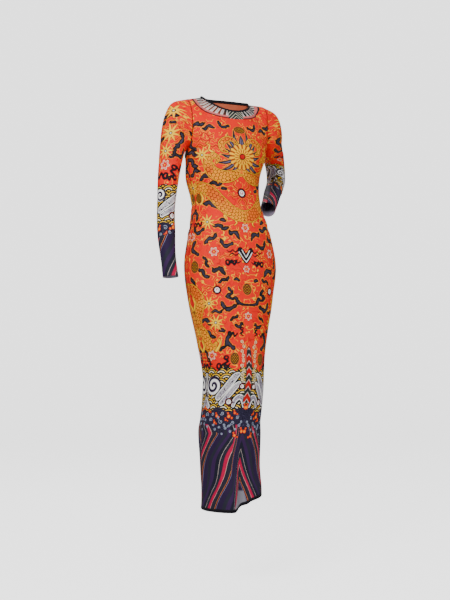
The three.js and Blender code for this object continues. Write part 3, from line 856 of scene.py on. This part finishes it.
class Recipe:
    """A material and the nodes that mix it."""

    def __init__(self, name):
        self.material = bpy.data.materials.new(name)
        self.material.use_nodes = True
        self.shader = self.material.node_tree.nodes["Principled BSDF"]

    def add(self, kind, settings=None, sockets=None, out=0):
        node = self.material.node_tree.nodes.new(kind)
        for key, value in (settings or {}).items():
            setattr(node, key, value)
        self.feed(node, sockets or {})
        return Tone(self, node.outputs[out])

    def feed(self, node, sockets):
        for key, value in sockets.items():
            if isinstance(value, Tone):
                self.material.node_tree.links.new(value.socket, node.inputs[key])
            else:
                node.inputs[key].default_value = value

    def field(self, name):
        return self.add("ShaderNodeAttribute", dict(attribute_name=name), out="Fac")

    def split(self, vector):
        node = self.add("ShaderNodeSeparateXYZ", None, {0: vector}).socket.node
        return [Tone(self, node.outputs[axis]) for axis in range(3)]

    def place(self, name):
        return self.split(self.add("ShaderNodeAttribute", dict(attribute_name=name), out="Vector"))

    def polar(self, name):
        """Distance from a motif's centre in its radius, the turn round it, and its half width."""
        x, y, size = self.place(name)
        return (x * x + y * y).reckon("SQRT"), y.reckon("ARCTAN2", x) / (2 * math.pi), size

    def under(self, value, edge=0.0, soft=0.5):
        """1 where the value is below the edge, falling to 0 above it."""
        sockets = {0: value, 1: edge - soft, 2: edge + soft, 3: 1.0, 4: 0.0}
        return self.add("ShaderNodeMapRange", None, sockets)

    def over(self, below, colour, share):
        """The colour painted over what is below, as thickly as its share."""
        colour = colour if isinstance(colour, Tone) else paint(*colour)
        below = below if isinstance(below, Tone) else paint(*below)
        return self.add("ShaderNodeMix", dict(data_type="RGBA"), {0: share, 6: below, 7: colour}, 2)

    def coats(self, colour, value, *rows):
        """The colour under coats of (colour, edge), each where the value is below its edge."""
        for coat, edge in rows:
            colour = self.over(colour, coat, self.under(value, edge))
        return colour

    def bands(self, value, stops):
        """Bands of colour that start at the given places between 0 and 1."""
        tone = self.add("ShaderNodeValToRGB", None, {0: value})
        ramp = tone.socket.node.color_ramp
        ramp.interpolation = "CONSTANT"
        for stop in stops[1:-1]:
            ramp.elements.new(stop[0])
        ramp.elements[len(stops) - 1].position = stops[-1][0]
        for element, stop in zip(ramp.elements, stops):
            element.color = paint(*stop[1:])
        return tone

    def noise(self, vector, scale, detail=2.0):
        return self.add("ShaderNodeTexNoise", None, {"Vector": vector, "Scale": scale, "Detail": detail})

    def finish(self, colour, value, height, strength, distance, surface):
        """The finished material: its colour with a play of brightness, and its relief."""
        colour = self.add("ShaderNodeHueSaturation", None, {"Value": value, "Color": colour})
        bump = self.add("ShaderNodeBump", None,
                        {"Strength": strength, "Distance": distance, "Height": height})
        self.feed(self.shader, {"Base Color": colour, "Normal": bump, **surface})
        return self.material


ORANGE, SALMON, PEACH, RED = (238, 84, 6), (228, 82, 42), (250, 158, 84), (200, 22, 40)
NAVY, CHARCOAL, LILAC, CREAM = (38, 32, 56), (46, 46, 58), (146, 134, 158), (242, 230, 204)
GOLD, YELLOW, BLACK, WHITE = (238, 146, 14), (255, 206, 20), (26, 24, 32), (248, 246, 244)
STRIPE_BANDS = [
    (0.0, 184, 14, 88), (0.105, 206, 178, 168), (0.115, *CHARCOAL), (0.275, 222, 152, 104),
    (0.288, 100, 28, 34),
    (0.33, 126, 140, 170), (0.34, 50, 36, 66), (0.535, *CHARCOAL), (0.645, 62, 42, 78), (0.765, 36, 36, 50),
    (0.88, 196, 184, 178), (0.893, *CHARCOAL),
]
SHELL_BANDS = [(0.0, *BLACK), (0.18, 250, 200, 70), (0.3, *BLACK), (0.48, *CREAM), (0.6, *BLACK),
               (0.75, 246, 200, 90), (0.85, *BLACK)]
PEARL_BANDS = [(0.0, *WHITE), (0.66, *BLACK), (0.96, *RED)]
BLOOM_BANDS = [(0.0, *YELLOW), (0.14, 214, 24, 60), (0.5, 246, 170, 160), (0.66, *RED),
               (0.74, 250, 222, 190),
               (0.9, 150, 30, 50)]


def add_round_motifs(recipe, colour):
    """Paints the rays, flowers, badges and discs over a colour."""
    under, over, coats = recipe.under, recipe.over, recipe.coats
    r, turn, size = recipe.polar("star")
    ray = abs((turn * 9.0) % 1.0 - 0.5) * 2.0
    edge = (r - ray * ray * 0.62 - 0.38) * size
    colour = coats(colour, edge, ((120, 26, 26), 1.5), (GOLD, 0.0), (YELLOW, -3.2))
    colour = coats(colour, r * size, (BLACK, 5.2), (CREAM, 2.6))
    r, turn, size = recipe.polar("bloom")
    reach = (turn * (2 * math.pi * 6)).reckon("COSINE") * 0.16 + 0.84
    petal = recipe.bands(r / reach, BLOOM_BANDS)
    colour = coats(colour, (r - reach) * size, (petal, 0.0))
    x, y, size = recipe.place("badge")
    r = (x * x + y * y).reckon("SQRT")
    speckle = (x * 13.0).reckon("SINE") * (y * 13.0).reckon("SINE")
    dark = over((48, 36, 38), (176, 150, 60), under(speckle * -1.0, -0.35, 0.15))
    dark = over(dark, (170, 46, 34), under(speckle, -0.5, 0.15))
    return coats(colour, (r - 1.0) * size, ((250, 150, 50), 1.0), ((52, 40, 44), 0.0), (dark, -2.0))


def add_discs(recipe, colour):
    """Paints the wave heads, white discs with a dark spiral, and the smaller pearls, which have a
    white rim, a dark ring and a red swirl."""
    r, turn, size = recipe.polar("spiral")
    line = abs((r * 1.6 - turn) % 1.0 - 0.5)
    disc = recipe.over(WHITE, (44, 30, 58), recipe.under(line, 0.25, 0.04))
    swirl = recipe.under(line, 0.2, 0.05) * recipe.under(r, 0.42, 0.03)
    pearl = recipe.over(recipe.bands(r, PEARL_BANDS), RED, swirl)
    disc = recipe.over(disc, pearl, recipe.under(size, 15.0))
    return recipe.coats(colour, (r - 1.0) * size, (BLACK, 1.8), (disc, 0.0))


def shell_reach(recipe, away, height):
    """How far a point lies from the centre of the lowest shell that covers it, in its radius. The
    shells stand in rows `up` apart, each row half a step aside from the one above."""
    across, up, radius = SHELL["across"], SHELL["up"], SHELL["radius"]
    level = height / -up
    reach = []
    for row in (1, 2):
        number = level - level % 1.0 + row
        x = ((away / across - (number * 0.5) % 1.0 + 0.5) % 1.0 - 0.5) * (across / radius)
        y = (row - level % 1.0) * (up / radius)
        reach.append((x * x + y * y).reckon("SQRT"))
    covered = recipe.under(reach[1], 1.0, 0.001)
    return reach[0] + (reach[1] - reach[0]) * covered


def printed_mesh():
    """The outer face: the ground, then flames, clouds, gold, flowers, sea, stripes and collar."""
    recipe = Recipe("printed mesh")
    field, under, over, coats = recipe.field, recipe.under, recipe.over, recipe.coats
    cloth = recipe.add("ShaderNodeUVMap", dict(uv_map="print"))
    across, up, _ = recipe.split(cloth)
    patchy = recipe.noise(cloth, 14.0)
    fine = recipe.noise(cloth, 260.0, 3.0)
    away, height, in_front = recipe.place("lay")

    colour = over(ORANGE, SALMON, field("stretch") * 0.75 + patchy * 0.15)
    for tint, scale, share in ((RED, 34.0, 0.85), (YELLOW, 41.0, 0.9)):
        contour = abs((recipe.noise(cloth, scale, 1.0) * 5.0) % 1.0 - 0.5)
        patch = under(recipe.noise(cloth, scale * 0.5 + 3.0, 1.0) * -1.0, -0.5, 0.03)
        colour = over(colour, tint, under(contour, 0.075, 0.03) * patch * share)
    colour = coats(colour, field("flare"), (PEACH, 1.7), (RED, 0.6))
    cloud = field("cloud") + recipe.noise(cloth, 115.0, 1.0) * 7.0 - 3.2
    colour = coats(colour, cloud, ((252, 156, 40), 1.3), ((30, 26, 34), 0.0))
    colour = over(colour, (78, 74, 92), under(cloud, -4.0) * (patchy * 1.6 - 0.3))
    colour = coats(colour, field("gold"), ((150, 34, 28), 1.4), (YELLOW, 0.0))
    colour = coats(colour, field("leaf"), ((250, 170, 60), 1.2), ((44, 44, 54), 0.0),
                   ((108, 100, 124), -3.6))

    along, beside, depth = recipe.place("scroll")
    row = (along / SCALE_PITCH).reckon("FLOOR")
    step = (along / SCALE_PITCH) % 1.0
    slot = abs((beside / SCALE_PITCH + row * 0.5) % 1.0 - 0.5) * 2.0
    scale = (step * step + slot * slot * 0.7).reckon("SQRT")
    scales = over((255, 194, 36), (244, 130, 10), under(scale, 0.46, 0.2))
    scales = over(scales, (222, 84, 10), under(patchy, 0.47, 0.05) * 0.6)
    scales = over(scales, (150, 30, 14), under(abs(scale - 0.9), 0.15, 0.05))
    colour = coats(colour, depth * -1.0, ((120, 26, 26), 1.6), ((255, 204, 70), 0.0),
                   ((104, 26, 16), -1.6), (scales, -2.6))

    r, turn, size = recipe.polar("flower")
    for reach, shift in ((1.0, 0.0), (0.62, 0.5)):
        petal = abs((turn * 16.0 + shift) % 1.0 - 0.5) * 2.0
        tip = (r + petal * petal * 0.13 - reach) * size
        colour = coats(colour, tip, (BLACK, 0.8), (GOLD, -0.6))
        colour = over(colour, YELLOW, under(tip, -0.6) * under(petal, 0.35, 0.2))
        colour = over(colour, (96, 40, 32), under(tip, 0.0) * under(petal * -1.0, -0.78, 0.06))
    colour = over(colour, BLACK, under(r, 0.24, 0.02))
    colour = over(colour, (196, 60, 50), under(r, 0.17, 0.02))
    colour = add_round_motifs(recipe, colour)

    shell = recipe.bands(shell_reach(recipe, away, height), SHELL_BANDS)
    colour = coats(colour, field("sea") * -1.0, (BLACK, 1.5), (shell, 0.0))
    foam = field("foam")
    streak = abs((recipe.noise(cloth, 62.0, 1.0) * 11.0) % 1.0 - 0.5)
    colour = coats(colour, foam, (BLACK, 4.2), (WHITE, 0.0))
    colour = over(colour, LILAC, under(foam, -3.0) * (patchy * 1.8 - 0.3))
    colour = over(colour, (62, 50, 66), under(foam, -2.2) * under(streak, 0.16, 0.05))
    deep = under(field("deep") * -1.0, 0.0)
    depths = over(NAVY, (76, 72, 96), under(streak, 0.1, 0.05) * 0.8)
    depths = over(depths, (28, 24, 34), under(abs(streak - 0.3), 0.07, 0.03) * 0.8)
    colour = over(colour, depths, deep)
    chevron = abs((height / 40.0 + away * 0.03) % 1.0 - 0.5)
    hill = over((186, 20, 40), (44, 46, 48), under(chevron * -1.0, -0.26, 0.03))
    hill = over(hill, (214, 200, 190), under(abs(chevron - 0.27), 0.035, 0.02))
    colour = coats(colour, field("mountain"), ((70, 96, 80), 2.4), (BLACK, 1.0), (hill, -0.8))
    colour = add_discs(recipe, colour)

    stripe = recipe.bands(field("stripe") % 1.0, STRIPE_BANDS)
    colour = coats(colour, field("stripes_from") * -1.0, (stripe, 0.0))
    colour = coats(colour, field("ink"), (BLACK, 0.4))
    colour = coats(colour, field("coral"), (BLACK, 1.2), ((244, 104, 10), 0.0), ((255, 170, 60), -2.4))
    colour = coats(colour, field("white"), (WHITE, 0.2))
    r, turn, size = recipe.polar("curl")
    winding = under(abs(r - turn * 0.5 - 0.62) * size, 0.95) + under(r * size, 1.5)
    colour = over(colour, BLACK, under(r, 1.0, 0.1) * 0.45)
    colour = over(colour, over((240, 222, 176), (150, 156, 176), deep), winding)

    petal, reach, _ = recipe.place("collar")
    gap = abs((petal * 7.5) % 1.0 - 0.5) * 2.0
    ring = over((36, 42, 40), (226, 216, 208), under(gap + patchy * 0.9, 0.92, 0.04))
    ring = over(ring, (176, 92, 74), under(abs(gap - 0.72), 0.1, 0.03) * under(patchy, 0.5, 0.05))
    ring = over(ring, (150, 140, 146), under(gap, 0.24, 0.1) * under(reach, 0.86, 0.05))
    ring = over(ring, (206, 120, 118), under(reach * -1.0, -0.9, 0.01))
    ring = over(ring, BLACK, under(reach * -1.0, -0.965, 0.008))
    nested = abs(((height + away) / 11.0) % 1.0 - 0.5)
    middle = over((44, 52, 52), (196, 190, 170), under(nested, 0.12, 0.04))
    ring = over(ring, middle, under(away, 27.0, 1.0) * under(reach * -1.0 - away * 0.008, -0.42, 0.02))
    colour = over(colour, ring, under(reach, 1.0, 0.005))

    colour = over(colour, (96, 18, 26), under(field("seam"), 1.3) * 0.8)
    sheer = under(away + (height - SHEER_TOP) * 0.3, 14.0, 2.0) * under(height, SHEER_TOP, 3.0)
    colour = over(colour, (146, 144, 152), sheer * in_front * 0.8)
    colour = coats(colour, field("rim"), (BLACK, 6.0))
    knit = (across * 7000.0).reckon("SINE") * (up * 5200.0).reckon("SINE")
    return recipe.finish(colour, fine * 0.16 + 0.92, knit * 0.5 + fine, 0.25, 0.0004, {
        "Roughness": patchy * 0.15 + 0.6, "Specular IOR Level": 0.12, "Sheen Weight": 0.02,
        "Sheen Roughness": 0.45})


def plain_reverse():
    """The inner face, where the print shows through only as its ground and its foot; the foot is painted a
    light grey-lilac, as painted light inside the cuffs.
    """
    recipe = Recipe("reverse of the print")
    cloth = recipe.add("ShaderNodeUVMap", dict(uv_map="print"))
    fine = recipe.noise(cloth, 260.0, 3.0)
    colour = recipe.over((226, 142, 116), (198, 104, 82), recipe.noise(cloth, 18.0))
    # The foot's reverse is painted light grey-lilac instead of dark: painted light, so that the inside of
    # the cuffs looks lit.
    colour = recipe.over(colour, (150, 142, 160), recipe.under(recipe.field("deep") * -1.0, 0.0, 4.0))
    return recipe.finish(colour, fine * 0.16 + 0.92, fine, 0.25, 0.0004, {
        "Roughness": 0.7, "Specular IOR Level": 0.25, "Sheen Weight": 0.1})


PRINTED = [printed_mesh(), plain_reverse()]


def add_panel(side, node):
    """A panel's cloth with its creases and its print. Along the shoulder seam its wall goes straight
    down, so that the front's and the back's don't cross."""
    points, s, v = panel_grid(side)
    points = drawn_in(points, SEAM / 2)
    if side == "back":
        points, s, v = points[:, ::-1], s[:, ::-1], v[:, ::-1]
    points = points - (crease_in(s, v) * edge_fade(points))[..., None] * outward(points)
    fields = panel_print(side, s, v)
    fields["seam"] = seam_distance(s, v)
    fields["rim"] = v - v[:1]
    normals = outward(points)
    sewn = np.abs(np.linspace(-1, 1, PANEL_COLUMNS + 1)) >= NECK_SHARE
    normals[-1, sewn, 1] = 0
    normals[-1] = unit(normals[-1])
    piece = add_wall(side + "_cloth", points, normals, WALL, stack(s, v) * MILLIMETRE, fields, PRINTED)
    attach(piece, "root")
    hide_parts(node)
    return piece


def edge_fade(points):
    """1 inside the piece, falling to 0 over the last 6 steps to its edges, so that creases leave
    the seams where they are."""
    rows, across = points.shape[:2]
    row = np.minimum(np.arange(rows), np.arange(rows)[::-1])[:, None]
    column = np.minimum(np.arange(across), np.arange(across)[::-1])[None, :]
    return np.clip(np.minimum(row, column) / 6, 0, 1)


front = add_panel("front", "front_panel")
back = add_panel("back", "back_panel")

# ---------------------------------------------------------------------------------------------
# Sleeves. Each is one length of the printed mesh, closed under the arm and set in at the
# armhole. The right one hangs, and the left one is bent, with deeper creases inside its elbow.
# ---------------------------------------------------------------------------------------------
SLEEVE_SEAM = 0.6        # how far a sleeve stands off the armhole
SLEEVE_COLUMNS = 96
SLEEVE_FULLEST = 124     # half the width of the flat sleeve where it is widest
SLEEVE_STEPS = 32        # rows of the grid between two rows of a sleeve's table
SLEEVE_FLAT = dict(right=(0.27, 0.6, 0.112), left=(0.27, 0.62, 0.112))

# Sections of the sleeves after the armhole: the point on the outer side of the arm, the point
# on its inner side, and half the width between them.
SLEEVES = dict(
    right=np.array([
        (-184, 14, -19, -139, 8, -166, 39),
        (-205, 14, -52, -142, 9, -172, 40),
        (-218, 13, -98, -147, 10, -183, 39),
        (-224, 12, -148, -152, 11, -200, 37.5),
        (-229, 11, -200, -159, 11, -226, 35.5),
        (-233, 10, -258, -167, 11, -266, 33),
        (-237, 8, -348, -180, 9, -350, 28.5),
        (-245, -9, -429, -188, -7, -431, 28),
        (-241, -23, -507, -193, -21, -509, 24.5),
        (-239, -33, -567, -189, -31, -569, 25),
    ], float),
    left=np.array([
        (192, 22, -30, 152, 9, -166, 39),
        (215, 46, -62, 160, 16, -173, 39),
        (235, 80, -97, 182, 38, -180, 36.5),
        (260, 114, -142, 222, 72, -196, 34),
        (285, 146, -190, 250, 104, -224, 32),
        (305, 174, -247, 259, 116, -233, 31),
        (272, 133, -290, 250, 107, -238, 30),
        (238, 90, -312, 219, 70, -259, 29),
        (203, 47, -336, 187, 28, -287, 27),
        (156, -12, -370, 141, -28, -324, 25),
    ], float),
)

# Creases of the sleeves: from and to, round from the outer line and along, width and depth.
SLEEVE_CREASES = dict(
    right=[
        (-20, -250, 70, -262, 8, 1.6), (60, -196, 100, -150, 8, 1.8), (20, -352, 84, -362, 7, 1.4),
        (-70, -340, -20, -356, 8, 1.2), (-96, -190, -50, -214, 8, 1.4), (10, -470, 60, -482, 6, 1.0),
        (-60, -452, -24, -462, 6, 1.1), (80, -120, 112, -84, 9, 2.2),
    ],
    left=[
        (60, -262, 104, -278, 7, 2.4), (50, -286, 98, -292, 7, 2.6), (56, -310, 96, -302, 7, 2.0),
        (-70, -280, -30, -296, 9, 1.2), (40, -226, 92, -246, 8, 1.6), (80, -110, 112, -84, 9, 2.2),
        (-84, -170, -40, -190, 8, 1.4), (10, -430, 60, -440, 6, 1.2), (-60, -420, -20, -434, 6, 1.0),
    ],
)


def sleeve_rings(name, angle):
    """A sleeve's rings at those angles from the arm's outer line over its front: the armhole,
    then an ellipse through the outer and inner points of each row."""
    side = 1.0 if name == "left" else -1.0
    table = SLEEVES[name]
    share = 1 - np.abs(angle) / np.pi
    sign = np.full(angle.shape, side)
    first = np.where(angle[:, None] >= 0, armhole("front", sign, share), armhole("back", sign, share))
    outer, inner, half = table[:, :3], table[:, 3:6], table[:, 6:]
    middle = (outer + inner) / 2
    before = np.concatenate([first[:-1].mean(axis=0)[None], middle[:-1]])
    after = np.concatenate([middle[1:], middle[-1:]])
    across = unit(np.cross(after - before, outer - middle)) * side * half
    rings = (middle[:, None] + (outer - middle)[:, None] * np.cos(angle)[None, :, None]
             + across[:, None] * np.sin(angle)[None, :, None])
    first = first + SLEEVE_SEAM * unit(unit(rings[0] - first) + np.array([side, 0, 0]))
    return np.concatenate([first[None], rings])


def through(rings, steps):
    """Centripetal Catmull-Rom curves through the rings, with `steps` rows between two rings."""
    padded = np.concatenate([2 * rings[:1] - rings[1:2], rings, 2 * rings[-1:] - rings[-2:-1]])
    t = np.linspace(0, 1, steps, endpoint=False)[:, None, None]
    rows = []
    for a, b, c, d in zip(padded, padded[1:], padded[2:], padded[3:]):
        one, two, three = [np.linalg.norm(q - p, axis=-1, keepdims=True) ** 0.5
                           for p, q in ((a, b), (b, c), (c, d))]
        start = ((b - a) / one - (c - a) / (one + two) + (c - b) / two) * two
        end = ((c - b) / two - (d - b) / (two + three) + (d - c) / three) * two
        rows.append(hermite(b[None], start[None], c[None], end[None], t))
    return np.concatenate([*rows, rings[-1:]])


def sleeve_print(s, v):
    """The print of a sleeve: the same ornaments as on the panels, then the sea and its stripes."""
    laid = Print(s + 2 * np.sin(v / 53), v)
    shared_print(laid, SLEEVE_CLOUDS, SLEEVE_STARS, SLEEVE_BLOOMS, SLEEVE_BADGES, SLEEVE_WAVE_HEADS,
                 SLEEVE_TWISTS, SLEEVE_ARMS, SLEEVE_CORAL, SLEEVE_CURLS)
    for chain in FLAME_LINES[:6]:
        laid.draw("flare", [(x - 70, y - 24, r) for x, y, r in chain])
        laid.draw("flare", [(x - 190, y - 90, r) for x, y, r in chain])
    fields = laid.fields
    fields["sea"] = SLEEVE_SEA_TOP + 5 * np.abs(np.sin(s / 13)) - v
    fields["deep"] = SLEEVE_SEA_FOOT + 6 * np.sin(s / 12) - v
    sway = SLEEVE_STRIPES["sway"] * np.sin(v / 24 + s / 50)
    drop = -v + SLEEVE_STRIPES["drop"] * s + sway
    fields["stripe"] = (drop - SLEEVE_STRIPES["first"]) / SLEEVE_STRIPES["repeat"]
    fields["stripes_from"] = SLEEVE_STRIPES_TOP + 9 * np.sin(s / 15) - v
    fields["lay"] = stack(s, v, 0.0)
    return fields


def add_sleeve(name, flip):
    """A sleeve's cloth with its creases and its print. Its print runs up from the cuff, and across
    at right angles to that, as it does on the flat cloth."""
    angle = np.linspace(-np.pi, np.pi, SLEEVE_COLUMNS + 1)
    points = through(sleeve_rings(name, angle), SLEEVE_STEPS)
    middle = SLEEVE_COLUMNS // 2
    run = lengths(points, 0)
    v = run[-1:] - run - run[-1, middle]
    s = lengths(points, 1)
    s = (s - s[:, middle][:, None]) * np.minimum(1, 2 * SLEEVE_FULLEST / s[:, -1:])
    points = drawn_in(points, SEAM / 2)
    if flip:
        points, s, v = points[:, ::-1], s[:, ::-1], v[:, ::-1]
    pressed = np.zeros_like(s)
    for x, y, end_x, end_y, width, depth in SLEEVE_CREASES[name]:
        pressed += groove(s, v, (x, y), (end_x, end_y), width) * depth
    pressed += PLAY * (np.sin(s / 17 + v / 41) * np.sin(v / 29 - s / 37))
    points = points - (pressed * edge_fade(points))[..., None] * outward(points)
    fields = sleeve_print(s, v)
    edge = np.where(s > 0, s.max(axis=1, keepdims=True), -s.min(axis=1, keepdims=True))
    fields["seam"] = np.minimum(v[:1] - v, edge - np.abs(s))
    piece = add_wall(name + "_sleeve_cloth", points, outward(points), WALL, stack(s, v) * MILLIMETRE,
                     fields, PRINTED)
    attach(piece, "root")
    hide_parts("sleeve_" + name)
    width, length, area = SLEEVE_FLAT[name]


add_sleeve("right", True)
add_sleeve("left", False)

# ---------------------------------------------------------------------------------------------
# Neck binding and rolled hem. Both are narrow black edges that run all the way round: a rib that
# stands up from the neckline and leans inwards, and a thin roll round the hem.
# ---------------------------------------------------------------------------------------------
EDGE_WALL = 2.2
NECK_BAND = 6.5
NECK_LEAN = 0.5
LOOP_STEPS = 320
SECTION_STEPS = 24
LIP_REACH, LIP_LEAN = 0.3, 2.2
LIP_FROM = 0.75          # share of the band's height where the lip starts
SQUARENESS = 0.7         # below 1 the oval is squarer than an ellipse


def edge_section(low, high, wall, sewn):
    """Points round a band between two loops: an upright oval whose half width falls from
    wall / 2 at its middle to 0 at both loops, seen from outside as going up. The quarter next to
    the cloth, at the top where sewn is 1 and at the foot where it is -1, is a lip that leans
    inwards by LIP_LEAN and reaches LIP_REACH of the band's height up the cloth's inner face."""
    along = unit(np.roll(low, -1, axis=0) - np.roll(low, 1, axis=0))
    up = high - low
    out = unit(np.cross(along, up))
    angle = np.linspace(0, 2 * np.pi, SECTION_STEPS, endpoint=False)
    rise = 0.5 - 0.5 * np.sign(np.cos(angle)) * np.abs(np.cos(angle)) ** SQUARENESS
    thick = 0.5 * wall * np.sign(np.sin(angle)) * np.abs(np.sin(angle)) ** SQUARENESS
    lip = np.clip(((rise if sewn > 0 else 1 - rise) - LIP_FROM) / (1 - LIP_FROM), 0, 1)
    rise, thick = rise + sewn * LIP_REACH * lip, thick - LIP_LEAN * lip
    return (low[None] + up[None] * rise[:, None, None]
            + out[None] * (thick - wall / 2)[:, None, None])


def add_edge(name, low, high, sewn, material, node):
    """A closed band round the dress between two loops."""
    points = edge_section(low, high, EDGE_WALL, sewn)
    rows, count = points.shape[:2]
    r, c = np.meshgrid(np.arange(rows), np.arange(count), indexing="ij")
    near, far = r * count, (r + 1) % rows * count
    faces = np.stack([near + c, near + (c + 1) % count, far + (c + 1) % count, far + c], -1)
    mesh = bpy.data.meshes.new(name)
    mesh.from_pydata((points.reshape(-1, 3) * MILLIMETRE).tolist(), [], faces.reshape(-1, 4).tolist())
    mesh.materials.append(material)
    run = np.linalg.norm(np.roll(low, -1, axis=0) - low, axis=-1).cumsum()
    held = mesh.attributes.new("run", "FLOAT", "POINT")
    held.data.foreach_set("value", np.broadcast_to(run, (rows, count)).astype(np.float32).ravel())
    mesh.shade_smooth()
    piece = bpy.data.objects.new(name, mesh)
    bpy.context.scene.collection.objects.link(piece)
    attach(piece, "root")
    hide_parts(node)
    return piece


def edge_loop(point_at, reach):
    """A loop round the front from u = -reach to reach, then round the back and back again."""
    u = np.linspace(-reach, reach, LOOP_STEPS // 2 + 1)[:-1]
    return np.concatenate([point_at("front", u), point_at("back", -u)])


def hem_point(side, u, rise):
    """A point of the hem, that far above its lower edge."""
    turn = column_turn(side, u)
    return body_point(turn, read(HEM, "z", wrap(turn)) + rise)


def neck_rise(edge, height):
    """The neckline raised by a height along a line that leans inwards."""
    inward = edge.mean(axis=0) - edge
    inward = unit(inward * (1, 1, 0)) * NECK_LEAN
    return edge + unit(inward + (0, 0, 1)) * height


def black_edge(name, colour, pitch):
    """A matt black rib or roll: fine ridges across the band, one for each `pitch` of its run, each crest
    with a painted highlight of lighter grey.
    """
    recipe = Recipe(name)
    where = recipe.add("ShaderNodeTexCoord", out="Object")
    fine = recipe.noise(where, 900.0, 3.0)
    ridge = (recipe.field("run") * (2 * math.pi / pitch)).reckon("SINE")
    # The ridges' crests are painted a lighter grey: a painted highlight.
    tone = recipe.over(colour, (46, 44, 50), recipe.under(ridge * -1.0, -0.6, 0.4) * 0.5)
    return recipe.finish(tone, fine * 0.5 + 0.75, ridge * 0.5 + fine, 0.3, 0.0002, {
        "Roughness": 0.85, "Specular IOR Level": 0.1, "Sheen Weight": 0.02})


neckline = edge_loop(upper_edge, NECK_SHARE)
rib = add_edge("neck_rib", neck_rise(neckline, SEAM), neck_rise(neckline, SEAM + NECK_BAND), -1,
               black_edge("black rib", (28, 26, 32), 1.6), "neck_binding")
roll = add_edge("hem_roll", edge_loop(lambda side, u: hem_point(side, u, 0), 1),
                edge_loop(lambda side, u: hem_point(side, u, HEM_BAND), 1), 1,
                black_edge("black rolled edge", (30, 28, 36), 2.4), "hem_band")
